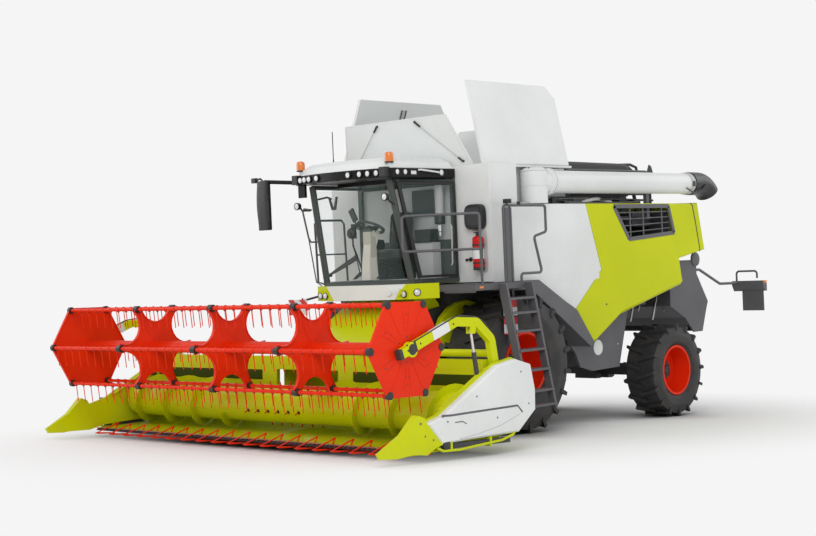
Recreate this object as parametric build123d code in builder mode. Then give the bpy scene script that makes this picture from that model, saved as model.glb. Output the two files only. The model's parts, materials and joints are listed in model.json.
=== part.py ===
"""Combine harvester with a reel header, built piece by piece in millimetres.

+Z is up, -Y is forward and +X is the machine's left. The origin is on the ground
under the middle of the whole machine. The bodywork stands with a slight forward
rake on its axles; the wheels, axles and header stay square to the ground.
"""

import os
from math import cos, pi, radians, sin

from build123d import *

os.makedirs("parts", exist_ok=True)

# ---------------------------------------------------------------- driving sizes
wheelbase = 3767
rake = 2.5  # forward lean of the bodywork, degrees
clearance = 0.3  # between seated pieces of different bodies
seat_gap = 0.2  # between pieces of one body that only touch
fit_gap = 0.08  # radial play of a pin in its bore

front_radius = 930
front_width = 750
front_track = 1325  # wheel centre from the middle
front_rim_radius = 440
rear_radius = 705
rear_width = 550
rear_track = 1325
rear_rim_radius = 380
kingpin_x = 905
kingpin_radius = 30
kingpin_boss = 75
kingpin_height = 260

nose_y = -4400  # tips of the crop dividers, from the front axle
carrier_back = 6220  # rear face of the light carriers, along the bodywork
carrier_low = 1640
lean = radians(rake)
tail_y = carrier_back * cos(lean) - (carrier_low - front_radius) * sin(lean)
middle_y = (nose_y + tail_y) / 2

panel_x = 1500  # outer face of the side panels
panel_thick = 40
hull_half = 740
wall = 30

header_half = 3085  # inner face of the header's end plates
end_thick = 30
cover_thick = 85
reel_radius = 568  # tine bars about the reel's axis
reel_y = -3779
reel_z = 1247
arm_out = header_half - 13
arm_in = arm_out - 72
reel_half = arm_in - 15
bar_radius = 22
tine_pitch = 165
tines_per_bar = int(2 * (reel_half - 90) / tine_pitch) + 1
spider_x = (-reel_half / 2, 0, reel_half / 2)
hinge_y = -880  # feeder house pivot
hinge_z = 1560
feeder_half = 620
feeder_round = 330
intake_y = -2860
intake_z = 500
drum_radius = 240
flight_radius = 330

# ---------------------------------------------------------------- frames
ground = Location((0, -middle_y, 0))
machine = (
    ground
    * Location((0, 0, front_radius))
    * Location((0, 0, 0), (rake, 0, 0))
    * Location((0, 0, -front_radius))
)


def side_of(frame, x=0):
    """Plane of a side view: first coordinate rearward, second up, facing left."""
    return Plane((frame * Location((x, 0, 0)) * Plane.YZ.location))


def plan_of(frame, z=0):
    """Plane of a top view: first coordinate to the left, second rearward."""
    return Plane((frame * Location((0, 0, z)) * Plane.XY.location))


def front_of(frame, y=0):
    """Plane of a front view, seen from ahead, facing forward: x left, y up."""
    return Plane((frame * Location((0, y, 0)) * Plane.XZ.location))


def spot(frame, x, y, z, turn=(0, 0, 0)):
    """A place on the machine, with an optional turn."""
    return frame * Location((x, y, z), turn)


def outline(plane, points):
    """A closed face through the points."""
    with BuildSketch(plane) as face:
        with BuildLine():
            Polyline(*points, close=True)
        make_face()
    return face.sketch


def slab(frame, x_low, x_high, points, mode=Mode.ADD):
    """A plate with the side-view outline, from x_low to x_high."""
    extrude(outline(side_of(frame, x_low), points), amount=x_high - x_low, mode=mode)


def block(frame, x, y, z, mode=Mode.ADD):
    """A box between the (low, high) pairs."""
    middle = [(low + high) / 2 for low, high in (x, y, z)]
    size = [high - low for low, high in (x, y, z)]
    with Locations(spot(frame, *middle)):
        Box(*size, mode=mode)


def rod(frame, start, end, radius, mode=Mode.ADD):
    """A round bar between two points."""
    begin = (frame * Location(start)).position
    stop = (frame * Location(end)).position
    axis = stop - begin
    with Locations(Plane(origin=(begin + stop) / 2, z_dir=axis).location):
        Cylinder(radius, axis.length, mode=mode)


def pipe(frame, points, radius, bend):
    """A bent round rail along the points."""
    with BuildLine() as path:
        FilletPolyline(*[(frame * Location(p)).position for p in points], radius=bend)
    wire = path.wires()[0]
    with BuildSketch(Plane(origin=wire @ 0, z_dir=wire % 0)) as ring:
        Circle(radius)
    sweep(ring.sketch, path=wire)


def both_sides():
    """Adds the mirror image across the machine's middle."""
    mirror(about=Plane.YZ)


# ---------------------------------------------------------------- wheels
tyre_sides = 28  # flats round a tyre's carcass
tread_rise = 52  # height of a tread lug
lug_foot = 0.86  # inner end of a lug, as a share of the radius
lugs_front = 18
lugs_rear = 16
lug_reach = 0.1  # how far a lug sweeps back, as a share of the radius


def ring(x, radius, across=True):
    """One many-sided section across a wheel whose axle is the X axis."""
    with BuildSketch(Plane(origin=(x, 0, 0), x_dir=(0, 1, 0), z_dir=(1, 0, 0))) as face:
        RegularPolygon(radius, tyre_sides, major_radius=across)
    return face.sketch.faces()[0]


def carcass(width, bead, flange, tread):
    """The tyre under its lugs: bead, bulging wall, shoulder and flat tread."""
    half = width / 2
    walls = (
        (-half * 0.78, flange),
        (-half, (bead + tread) / 2),
        (-half * 0.88, tread),
        (half * 0.88, tread),
        (half, (bead + tread) / 2),
        (half * 0.78, flange),
    )
    with BuildPart() as body:
        loft(sections=[ring(x, radius) for x, radius in walls], ruled=True)
        extrude(ring(-half, bead, False), amount=width, mode=Mode.SUBTRACT)
    return body.part


def tread_bar(side, width, radius):
    """One lug, swept back from the middle of the tread out over the shoulder."""
    base = radius * lug_foot
    top = radius * cos(lug_reach)
    inner = -side * width * 0.04
    outer = side * width * 0.49
    with BuildPart() as bar:
        with BuildSketch(Plane.XY.offset(base)) as plan:
            with BuildLine():
                Polyline(
                    (inner, -radius * lug_reach * 0.9),
                    (inner, -radius * lug_reach * 0.15),
                    (outer, radius * lug_reach),
                    (outer, radius * lug_reach * 0.4),
                    close=True,
                )
            make_face()
        extrude(plan.sketch, amount=top - base)
    return bar.part


def tread(width, radius, count):
    """All lugs of a tyre, the two rows half a step apart."""
    bars = []
    for side, start in ((1, 0), (-1, 0.5)):
        bar = tread_bar(side, width, radius)
        for k in range(count):
            turn = 360 * (k + start) / count + lug_reach * 180 / pi
            bars.append(Location((0, 0, 0), (turn, 0, 0)) * bar)
    return bars


wheels = {
    # name: side, centre x, axle y, radius, width, rim radius, lugs in a row
    "front_left": (1, front_track, 0, front_radius, front_width, front_rim_radius, lugs_front),
    "front_right": (-1, front_track, 0, front_radius, front_width, front_rim_radius, lugs_front),
    "rear_left": (1, rear_track, wheelbase, rear_radius, rear_width, rear_rim_radius, lugs_rear),
    "rear_right": (-1, rear_track, wheelbase, rear_radius, rear_width, rear_rim_radius, lugs_rear),
}
rim_wall = 14
rim_lip = 6  # the tyre's wall stands this far off the rim's flange
rim_flange = 22
disc_in = 60  # hub face, inboard of the wheel's middle plane
hub_radius = 150
hub_deep = 90

for place, (side, track, axle_y, radius, width, rim_radius, lugs) in wheels.items():
    hub = Location((0, axle_y - middle_y, radius))
    section = Plane(origin=hub.position, x_dir=(side, 0, 0), z_dir=(0, -side, 0))
    axle_line = Axis(hub.position, (1, 0, 0))
    barrel = rim_radius - rim_flange
    rim_half = width * 0.40
    with BuildPart() as tyre:
        with Locations(hub * Location((side * track, 0, 0))):
            add(carcass(width, barrel + seat_gap, rim_radius + rim_lip, radius - tread_rise))
            add(tread(width, radius, lugs))
    tyre.part.label = f"tyre_{place}"
    export_step(tyre.part, f"parts/tyre_{place}.step")

    with BuildPart() as rim:
        with BuildSketch(section):
            with BuildLine():
                Polyline(
                    (track - rim_half - rim_wall, rim_radius),
                    (track - rim_half - rim_wall, barrel - rim_wall),
                    (track - disc_in, barrel - rim_wall),
                    (track - disc_in, hub_radius),
                    (track - disc_in - rim_wall, hub_radius),
                    (track - disc_in - rim_wall, 0),
                    (track - disc_in + hub_deep, 0),
                    (track - disc_in + hub_deep, hub_radius * 0.8),
                    (track - disc_in + rim_wall, hub_radius),
                    (track - disc_in + rim_wall, barrel - rim_wall),
                    (track + rim_half + rim_wall, barrel - rim_wall),
                    (track + rim_half + rim_wall, rim_radius),
                    (track + rim_half, rim_radius),
                    (track + rim_half, barrel),
                    (track - rim_half, barrel),
                    (track - rim_half, rim_radius),
                    close=True,
                )
            make_face()
        revolve(axis=axle_line)
    rim.part.label = f"rim_{place}"
    export_step(rim.part, f"parts/rim_{place}.step")

front_hub_x = front_track - disc_in - rim_wall
rear_hub_x = rear_track - disc_in - rim_wall

# ---------------------------------------------------------------- front axle
lift_x = 420
barrel_y = -330
barrel_z = 760
eye_y = -1700
eye_z = 640
lift_pin = 28
axle_tube = 120
drive_radius = 230
drive_in = 780
axle_pad = 90
hull_belly = 1075  # underside of the hull over the front axle

with BuildPart() as front_axle:
    rod(machine, (-drive_in, 0, front_radius), (drive_in, 0, front_radius), axle_tube)
    rod(machine, (drive_in, 0, front_radius), (front_hub_x - 60, 0, front_radius), drive_radius)
    rod(
        machine,
        (front_hub_x - 60, 0, front_radius),
        (front_hub_x - clearance, 0, front_radius),
        hub_radius,
    )
    block(machine, (500, 640), (-axle_pad, axle_pad), (front_radius, hull_belly))
    # clevises and pins of the header's lift cylinders
    for inner in (lift_x - 85, lift_x + 62):
        slab(
            ground,
            inner,
            inner + 23,
            (
                (40, front_radius + 60),
                (barrel_y - 50, barrel_z + 40),
                (barrel_y - 50, barrel_z - 50),
                (barrel_y + 40, barrel_z - 60),
                (60, front_radius - 70),
            ),
        )
    rod(ground, (lift_x - 70, barrel_y, barrel_z), (lift_x + 70, barrel_y, barrel_z), lift_pin)
    both_sides()
front_axle.part.label = "front_axle"
export_step(front_axle.part, "parts/front_axle.step")

# ---------------------------------------------------------------- rear axle
beam_high = 180
beam_deep = 160
fork_plate = 50
fork_gap = kingpin_height / 2 + clearance
pivot_radius = 95
pivot_half = 170
stub_radius = 55
arm_length = 260

with BuildPart() as rear_axle:
    half_deep = beam_deep / 2
    block(
        ground,
        (-kingpin_x + kingpin_boss + 30, kingpin_x - kingpin_boss - 30),
        (wheelbase - half_deep, wheelbase + half_deep),
        (rear_radius - beam_high / 2, rear_radius + beam_high / 2),
    )
    for below in (True, False):
        low = fork_gap if not below else -fork_gap - fork_plate
        block(
            ground,
            (kingpin_x - 190, kingpin_x + 60),
            (wheelbase - half_deep, wheelbase + half_deep),
            (rear_radius + low, rear_radius + low + fork_plate),
        )
    block(
        ground,
        (kingpin_x - 190, kingpin_x - kingpin_boss - 30),
        (wheelbase - half_deep, wheelbase + half_deep),
        (rear_radius - fork_gap - fork_plate, rear_radius + fork_gap + fork_plate),
    )
    rod(
        ground,
        (kingpin_x, wheelbase, rear_radius - 300),
        (kingpin_x, wheelbase, rear_radius + 300),
        kingpin_radius + fit_gap,
        mode=Mode.SUBTRACT,
    )
    both_sides()
    rod(
        ground,
        (0, wheelbase - pivot_half, rear_radius),
        (0, wheelbase + pivot_half, rear_radius),
        pivot_radius,
    )
rear_axle.part.label = "rear_axle"
export_step(rear_axle.part, "parts/rear_axle.step")

for place, side in (("left", 1), ("right", -1)):
    with BuildPart() as knuckle:
        at_pin = side * kingpin_x
        rod(
            ground,
            (at_pin, wheelbase, rear_radius - kingpin_height / 2),
            (at_pin, wheelbase, rear_radius + kingpin_height / 2),
            kingpin_boss,
        )
        rod(
            ground,
            (at_pin, wheelbase, rear_radius - fork_gap - fork_plate),
            (at_pin, wheelbase, rear_radius + fork_gap + fork_plate),
            kingpin_radius,
        )
        rod(
            ground,
            (at_pin, wheelbase, rear_radius),
            (side * (rear_hub_x - clearance), wheelbase, rear_radius),
            stub_radius,
        )
        rod(
            ground,
            (side * (rear_hub_x - 40), wheelbase, rear_radius),
            (side * (rear_hub_x - clearance), wheelbase, rear_radius),
            hub_radius * 0.8,
        )
        low, high = sorted((at_pin - 35, at_pin + 35))
        block(
            ground,
            (low, high),
            (wheelbase - arm_length, wheelbase),
            (rear_radius - 80, rear_radius - 40),
        )
    knuckle.part.label = f"knuckle_{place}"
    export_step(knuckle.part, f"parts/knuckle_{place}.step")

# ---------------------------------------------------------------- hull
hull_top = 2000
deck_top = 2960
hull_front = -480
tank_front = -420
tank_back = 1600
ear_in = feeder_half + 12
ear_out = ear_in + 50
trunnion = 45
saddle_top = 1480
hull_back = wheelbase + 283

hull_side = (
    (hull_front, hull_top),
    (hull_front, 1250),
    (-300, hull_belly),
    (220, hull_belly),
    (420, 760),
    (1700, 700),
    (2560, 700),
    (wheelbase - 887, saddle_top),
    (hull_back, saddle_top),
    (hull_back, hull_top),
)
tow_y = wheelbase + 360
tow_z = 580
tow_thick = 40
tow_bore = 20

with BuildPart() as hull:
    slab(machine, -hull_half, hull_half, hull_side)
    block(machine, (hull_half - 5, 1259), (900, 980), (1180, 1260))
    block(machine, (hull_half - 5, 1259), (2300, 2380), (1180, 1260))
    both_sides()
    # cheeks that carry the rear axle's pivot, square to the ground
    for near, far in ((-pivot_half - 60, -beam_deep / 2 - 15), (beam_deep / 2 + 15, pivot_half + 60)):
        block(
            ground,
            (-200, 200),
            (wheelbase + near, wheelbase + far),
            (rear_radius - 150, saddle_top + 200),
        )
    rod(
        ground,
        (0, wheelbase - pivot_half - clearance, rear_radius),
        (0, wheelbase + pivot_half + clearance, rear_radius),
        pivot_radius + seat_gap,
        mode=Mode.SUBTRACT,
    )
    # tow plate with its pin hole
    block(
        ground,
        (-90, 90),
        (wheelbase + pivot_half + 50, tow_y + 70),
        (tow_z - tow_thick / 2, tow_z + tow_thick / 2),
    )
    rod(ground, (0, tow_y, tow_z - 50), (0, tow_y, tow_z + 50), tow_bore, mode=Mode.SUBTRACT)
    # ears and pins that carry the feeder house
    for side in (1, -1):
        low, high = sorted((side * ear_in, side * ear_out))
        slab(
            ground,
            low,
            high,
            (
                (hull_front + 60, hinge_z + 200),
                (hinge_y - 90, hinge_z + 90),
                (hinge_y - 90, hinge_z - 90),
                (hull_front + 60, hinge_z - 200),
            ),
        )
        rod(
            ground,
            (side * (feeder_half - 40), hinge_y, hinge_z),
            (side * ear_in, hinge_y, hinge_z),
            trunnion,
        )
hull.part.label = "hull"
export_step(hull.part, "parts/hull.step")

with BuildPart() as bulkheads:
    for back in (tank_back + 40, 3830):
        block(
            machine,
            (0, panel_x - panel_thick - clearance),
            (back, back + wall),
            (hull_top + seat_gap, deck_top),
        )
    # arms that carry the rear hood
    block(machine, (1370, 1420 - seat_gap), (3835, 4300), (2500, 2600))
    both_sides()
bulkheads.part.label = "bulkheads"
export_step(bulkheads.part, "parts/bulkheads.step")

# ---------------------------------------------------------------- bodywork
panel_top = 3090
lime_tip = (1780, 1140)
door_gap = 12

guard_top = ((-260, 2050), (350, 2050), (930, 1725), (1180, 1600))
front_side = (
    (tank_front + seat_gap, panel_top),
    (tank_front + seat_gap, guard_top[0][1] + seat_gap),
    *((back, up + seat_gap) for back, up in guard_top[1:]),
    (1330 - door_gap, 1590),
    (2000 - door_gap, 2140),
    (1680 - door_gap, panel_top),
)
with BuildPart() as side_panels:
    slab(machine, panel_x - panel_thick, panel_x, front_side)
    block(
        machine,
        (panel_x - panel_thick - 60, panel_x - panel_thick),
        (tank_back - 200, tank_back),
        (2300, panel_top),
    )
    both_sides()
side_panels.part.label = "side_panels"
export_step(side_panels.part, "parts/side_panels.step")

door_side = (
    (1680, panel_top),
    (2000, 2140),
    (1330, 1590),
    (1570, 1180),
    lime_tip,
    (2460, 1510),
    (4100, 1880),
    (3870, panel_top),
)
window = ((2360, 3050), (3800, 3050), (3930, 2640), (2720, 2560))
for place, side in (("left", 1), ("right", -1)):
    with BuildPart() as door:
        low, high = sorted((side * (panel_x - panel_thick), side * panel_x))
        slab(machine, low, high, door_side)
        slab(machine, low, high, window, mode=Mode.SUBTRACT)
        for share in (0.2, 0.4, 0.6, 0.8):
            front_up = (2360 + 360 * share, 3050 - 490 * share)
            back_up = (3800 + 130 * share, 3050 - 410 * share)
            rod(
                machine,
                (side * (panel_x - panel_thick / 2), front_up[0] - 20, front_up[1]),
                (side * (panel_x - panel_thick / 2), back_up[0] + 20, back_up[1]),
                9,
            )
    door.part.label = f"door_{place}"
    export_step(door.part, f"parts/door_{place}.step")

# rear hood, open below and inside
hood_side = ((3890, panel_top), (4710, 3100), (4870, 2360), (4060, 2230))
hood_half = 1450
hood_round = 28
with BuildPart() as rear_hood:
    slab(machine, -hood_half, hood_half, hood_side)
    fillet(rear_hood.edges().filter_by(Axis.X, reverse=True), hood_round)
    slab(
        machine,
        -hood_half + wall,
        hood_half - wall,
        ((3800, panel_top - wall), (4690, 3070), (4835, 2380), (4835, 2100), (3800, 2100)),
        mode=Mode.SUBTRACT,
    )
rear_hood.part.label = "rear_hood"
export_step(rear_hood.part, "parts/rear_hood.step")

chopper_side = (
    (hull_back + seat_gap, 2200),
    (hull_back + seat_gap, 1500),
    (4450, 1300),
    (4700, 1060),
    (4940, 1060),
    (5060, 1370),
    (5130, 1530),
    (4830, 1980),
    (4830, 2200),
)
chopper_half = 1300
rail_x = chopper_half - wall  # rails of the rear lamps
rail_z = carrier_low + 140
carrier_front = carrier_back - 120
carrier_in = 1170
carrier_out = 1750
tail_lamp = 42
with BuildPart() as chopper:
    slab(machine, -chopper_half, chopper_half, chopper_side)
    slab(
        machine,
        -chopper_half + wall,
        chopper_half - wall,
        (
            (hull_back + 5 + wall, 2300),
            (hull_back + 5 + wall, 1520),
            (4460, 1330),
            (4720, 1000),
            (4910, 1000),
            (5025, 1370),
            (5090, 1530),
            (4795, 1980),
            (4795, 2300),
        ),
        mode=Mode.SUBTRACT,
    )
    # spreader deck behind the chopper
    slab(
        machine,
        -1000,
        1000,
        ((4980, 1240), (5500, 1330), (5500, 1300), (4960, 1200)),
    )
    # rails and boxes of the rear lamps
    pipe(
        machine,
        (
            (rail_x, 4800, rail_z + 260),
            (rail_x, 4960, rail_z + 260),
            (rail_x, 5560, rail_z + 10),
            (rail_x, carrier_front + 20, rail_z),
        ),
        22,
        80,
    )
    with BuildSketch(side_of(machine, carrier_in)) as carrier:
        with BuildLine():
            Polyline(
                (carrier_front, rail_z - 40),
                (carrier_front + 60, carrier_low),
                (carrier_back, carrier_low),
                (carrier_back, rail_z + 30),
                (carrier_front, rail_z + 30),
                close=True,
            )
        make_face()
    extrude(carrier.sketch, amount=carrier_out - carrier_in)
    # tail lamps set in the carriers' rear faces
    for at_x in (carrier_in + 80, carrier_in + 190, carrier_out - 80):
        rod(
            machine,
            (at_x, carrier_back - 60, carrier_low + 85),
            (at_x, carrier_back - 1, carrier_low + 85),
            tail_lamp + 10,
        )
        rod(
            machine,
            (at_x, carrier_back - 2, carrier_low + 85),
            (at_x, carrier_back, carrier_low + 85),
            tail_lamp,
        )
    # stay that shields the near lamps, and the rubber flap under them
    pipe(
        machine,
        (
            (carrier_in + 60, carrier_front + 60, rail_z + 20),
            (carrier_in + 60, carrier_front + 60, rail_z + 190),
            (carrier_out - 140, carrier_front + 60, rail_z + 190),
            (carrier_out - 140, carrier_front + 60, rail_z + 70),
        ),
        16,
        50,
    )
    flap_front = carrier_back - 70
    block(
        machine,
        (carrier_in + 160, carrier_out - 30),
        (flap_front, flap_front + 15),
        (carrier_low - 320, carrier_low + 5),
    )
    mirror(about=Plane.YZ)
chopper.part.label = "chopper"
export_step(chopper.part, "parts/chopper.step")

guard_in = 1300
guard_out = 1640
with BuildPart() as guards:
    slab(
        machine,
        guard_in,
        guard_out,
        (
            *guard_top,
            (1550, 1130),
            (1480, 1060),
            (860, 1480),
            (170, 1930),
            (-260, 1930),
        ),
    )
    slab(
        machine,
        1260,
        1300,
        (
            (1560, 950),
            (1660, 750),
            (1950, 670),
            (2620, 680),
            (2890, 1500),
            (2460, 1440),
            (2050, 1300),
            (1530, 1120),
            (1400, 1120),
        ),
    )
    both_sides()
guards.part.label = "guards"
export_step(guards.part, "parts/guards.step")

# ---------------------------------------------------------------- grain tank
tank_top = 3640
tank_half = 1200
flap_x = tank_half + 135
tank_wall = 40
hopper_low = 2150
hopper_half_x = 250
elbow_x = tank_half + 230
elbow_y = 595
elbow_radius = 185
elbow_round = 90
tube_radius = 160
tube_z = 3400
tube_end = 4475
tube_wall = 8
turret_z = panel_top + 40

with BuildPart() as grain_tank:
    block(
        machine, (-tank_half, tank_half), (tank_front, tank_back), (panel_top - 300, tank_top)
    )
    # hopper under the straight walls
    with BuildSketch(plan_of(machine, panel_top - 300)) as mouth:
        with Locations((0, (tank_front + tank_back) / 2)):
            Rectangle(2 * tank_half, tank_back - tank_front)
    with BuildSketch(plan_of(machine, hull_top + seat_gap)) as sump:
        with Locations((0, (tank_front + tank_back) / 2)):
            Rectangle(2 * hopper_half_x, 1400)
    loft(sections=[sump.sketch.faces()[0], mouth.sketch.faces()[0]])
    block(
        machine,
        (-tank_half + tank_wall, tank_half - tank_wall),
        (tank_front + tank_wall, tank_back - tank_wall),
        (panel_top - 300, tank_top + 10),
        mode=Mode.SUBTRACT,
    )
    with BuildSketch(plan_of(machine, panel_top - 300)) as inner_mouth:
        with Locations((0, (tank_front + tank_back) / 2)):
            Rectangle(2 * (tank_half - tank_wall), tank_back - tank_front - 2 * tank_wall)
    with BuildSketch(plan_of(machine, hopper_low)) as inner_sump:
        with Locations((0, (tank_front + tank_back) / 2)):
            Rectangle(2 * (hopper_half_x - tank_wall), 1200)
    loft(sections=[inner_sump.sketch.faces()[0], inner_mouth.sketch.faces()[0]], mode=Mode.SUBTRACT)
grain_tank.part.label = "grain_tank"
export_step(grain_tank.part, "parts/grain_tank.step")

# front wall and shoulders round the tank, with the unloading tube's turret
shoulder_x = 1450
shoulder_back = 190
wall_foot = hull_top + 60
with BuildPart() as tank_front_wall:
    block(
        machine,
        (0, panel_x),
        (tank_front - wall, tank_front - seat_gap),
        (wall_foot, tank_top),
    )
    block(
        machine,
        (tank_half + seat_gap, shoulder_x),
        (tank_front - wall / 2, shoulder_back),
        (panel_top + seat_gap, tank_top),
    )
    block(
        machine,
        (tank_half + seat_gap, flap_x),
        (tank_front, tank_back),
        (tank_top - 30, tank_top),
    )
    block(
        machine,
        (panel_x - panel_thick - 60, panel_x - panel_thick - seat_gap),
        (tank_front - wall / 2, tank_front + 60),
        (wall_foot + 240, panel_top - 10),
    )
    both_sides()
    rod(machine, (elbow_x, elbow_y, panel_top + 8), (elbow_x, elbow_y, turret_z), elbow_radius)
    block(
        machine,
        (tank_half + seat_gap, elbow_x),
        (elbow_y - 120, elbow_y + 120),
        (panel_top + 10, turret_z - 4),
    )
tank_front_wall.part.label = "tank_front_wall"
export_step(tank_front_wall.part, "parts/tank_front_wall.step")

# tank flaps, standing open: each is a thin panel on its hinge line
flap_thick = 25
flap_lean_left = 12
flap_lean_right = 22
flap_height = 1160
flap_z = tank_top + flap_thick / 2 + clearance
flap_length = 1900
flap_mid_y = tank_front + flap_length / 2 + 40
for place, side, lean in (("left", 1, flap_lean_left), ("right", -1, flap_lean_right)):
    with BuildPart() as flap:
        hinge = spot(machine, side * flap_x, flap_mid_y, flap_z, (0, -side * lean, 0))
        with BuildSketch(Plane(hinge * Plane.YZ.location)) as sheet:
            with BuildLine():
                half = flap_length / 2
                Polyline(
                    (-half, 0),
                    (half, 0),
                    (half, flap_height - 180),
                    (half - 180, flap_height),
                    (-half, flap_height),
                    close=True,
                )
            make_face()
        extrude(amount=flap_thick / 2, both=True)
        knuckle_line = (hinge * Location((0, 0, 0), (90, 0, 0)))
        with Locations(knuckle_line):
            Cylinder(flap_thick / 2, flap_length)
    flap.part.label = f"flap_{place}"
    export_step(flap.part, f"parts/flap_{place}.step")

end_flap_half = 1190
end_flap_top = 950
end_flap_high = 720
end_flap_lean = 20
for place, facing, at_y in (("front", -1, tank_front + 20), ("rear", 1, tank_back - 20)):
    hinge = spot(machine, 0, at_y, flap_z, (-facing * end_flap_lean, 0, 0))
    with BuildPart() as end_flap:
        with BuildSketch(Plane(hinge * Plane.XZ.location)) as sheet:
            with BuildLine():
                Polyline(
                    (-end_flap_half, 0),
                    (end_flap_half, 0),
                    (end_flap_top, end_flap_high),
                    (-end_flap_top, end_flap_high),
                    close=True,
                )
            make_face()
        extrude(sheet.sketch, amount=flap_thick / 2, both=True)
        with Locations(hinge * Location((0, 0, 0), (0, 90, 0))):
            Cylinder(flap_thick / 2, 2 * end_flap_half)
    end_flap.part.label = f"flap_{place}"
    export_step(end_flap.part, f"parts/flap_{place}.step")

# ---------------------------------------------------------------- unloading auger
with BuildPart() as unloading_auger:
    rod(
        machine,
        (elbow_x, elbow_y, turret_z + clearance),
        (elbow_x, elbow_y, tank_top - 45),
        elbow_radius,
    )
    fillet(unloading_auger.faces().sort_by(Axis.Z)[-1].edges(), elbow_round)
    rod(machine, (elbow_x, elbow_y, tube_z), (elbow_x, tube_end, tube_z), tube_radius)
    rod(
        machine,
        (elbow_x, elbow_y + elbow_radius + 40, tube_z),
        (elbow_x, tube_end + 1, tube_z),
        tube_radius - tube_wall,
        mode=Mode.SUBTRACT,
    )
    rod(
        machine,
        (elbow_x, elbow_y + elbow_radius + 60, tube_z),
        (elbow_x, elbow_y + elbow_radius + 100, tube_z),
        tube_radius + 25,
    )
unloading_auger.part.label = "unloading_auger"
export_step(unloading_auger.part, "parts/unloading_auger.step")

spout_bend = 400
spout_run = 250
spout_turn = 50
spout_wall = 20
with BuildPart() as spout:
    begin = spot(machine, elbow_x, tube_end + seat_gap, tube_z)
    with BuildSketch(Plane(begin * Plane.XZ.location)) as mouth:
        Circle(tube_radius + spout_wall)
        Circle(tube_radius, mode=Mode.SUBTRACT)
    extrude(mouth.sketch, amount=-spout_run)
    bend_from = spot(machine, elbow_x, tube_end + seat_gap + spout_run, tube_z)
    with BuildSketch(Plane(bend_from * Plane.XZ.location)) as bend_ring:
        Circle(tube_radius + spout_wall)
        Circle(tube_radius, mode=Mode.SUBTRACT)
    turn = (bend_from * Location((0, 0, -spout_bend))).position
    revolve(bend_ring.sketch, axis=Axis(turn, (-1, 0, 0)), revolution_arc=spout_turn)
spout.part.label = "spout"
export_step(spout.part, "parts/spout.step")

# ---------------------------------------------------------------- engine and deck
case_half = 450
case_front = 1950
case_back = 3250
case_top = 2560
head_top = 2800
head_pitch = 200
muffler_x = 940
muffler_z = 2680
muffler_radius = 140
with BuildPart() as engine:
    block(
        machine,
        (-case_half, case_half),
        (case_front, case_back),
        (hull_top + seat_gap, case_top),
    )
    # six cylinder heads and the valve cover over them
    for k in range(6):
        block(
            machine,
            (-260, 260),
            (case_front + 60 + k * head_pitch, case_front + 220 + k * head_pitch),
            (case_top - 1, head_top),
        )
    block(machine, (-120, 170), (case_front + 40, case_back - 40), (head_top - 60, 2890))
    # pulleys, charger and intake pipe
    for at_y, at_z, radius in ((2150, 2300, 150), (2480, 2430, 90), (2900, 2250, 190)):
        rod(machine, (case_half - 10, at_y, at_z), (case_half + 120, at_y, at_z), radius)
    rod(machine, (300, 2350, 2720), (620, 2350, 2720), 85)
    pipe(
        machine,
        ((560, 2350, 2720), (muffler_x, 2350, 2720), (muffler_x, 2700, muffler_z)),
        48,
        100,
    )
    # muffler and air cleaner on brackets beside the engine
    rod(
        machine,
        (muffler_x, 2480, muffler_z),
        (muffler_x, 3150, muffler_z),
        muffler_radius,
    )
    for at_y in (2600, 2980):
        block(machine, (case_half - 10, muffler_x), (at_y, at_y + 60), (2480, 2545))
        block(
            machine,
            (muffler_x - 60, muffler_x + 60),
            (at_y, at_y + 60),
            (hull_top + 480, muffler_z - 100),
        )
    rod(machine, (-muffler_x, 2200, muffler_z), (-muffler_x, 2900, muffler_z), 150)
    block(machine, (-muffler_x, -case_half + 10), (2500, 2570), (2480, 2600))
engine.part.label = "engine"
export_step(engine.part, "parts/engine.step")

with BuildPart() as engine_deck:
    block(machine, (-1140, 1140), (3340, 3825), (deck_top - 200, deck_top))
    for level in (3250, 3600):
        pipe(
            machine,
            (
                (1150, 1700, deck_top - 60),
                (1150, 1700, level),
                (1150, 3780, level),
                (1150, 3780, deck_top - 60),
            ),
            18,
            60,
        )
    block(machine, (1130, 1170), (1675, 3825), (deck_top - 100, deck_top - 50))
    both_sides()
    # cradle that the stowed unloading tube lies in
    block(machine, (1160, elbow_x), (3300, 3360), (deck_top - 100, deck_top - 60))
    block(
        machine,
        (elbow_x - 45, elbow_x + 15),
        (3300, 3360),
        (deck_top - 100, tube_z - tube_radius - clearance),
    )
engine_deck.part.label = "engine_deck"
export_step(engine_deck.part, "parts/engine_deck.step")

# ---------------------------------------------------------------- cab
cab_floor = 2080
cab_sill = 2130
cab_head = 3450
cab_back = -460
glass_thick = 8
front_low = (800, -1290)  # foot of the front pillars
front_high = (730, -1560)
back_low = (890, -500)
bow_low = -1430  # middle of the windscreen's foot
bow_high = -1700
pillar = 45
roof_low = cab_head + 28
door_low_z = cab_sill + 20
door_high_z = cab_head - 30
door_in = 56  # the door's inner face stands this far outside the pillars' axes
door_ahead = 60
door_out = 26
door_bar = 34
hinge_foot = (front_low[0] + door_in + door_out / 2, front_low[1] + door_ahead + door_bar / 2)
hinge_head = (front_high[0] + door_in + door_out / 2, front_high[1] + door_ahead + door_bar / 2)
hinge_pin = 8
pin_deep = 25


def door_line(low, high):
    """The stretch of the door's leaning hinge line between two heights."""
    ends = []
    for level in (low, high):
        share = (level - door_low_z) / (door_high_z - door_low_z)
        x, y = (a + (b - a) * share for a, b in zip(hinge_foot, hinge_head))
        ends.append((x, y, level))
    return ends


def bowed(half, corner_y, bow_y, inset=0):
    """Front of the cab in plan: an arc through both corners and the bow."""
    return ThreePointArc((-half, corner_y + inset), (0, bow_y + inset), (half, corner_y + inset))


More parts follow.
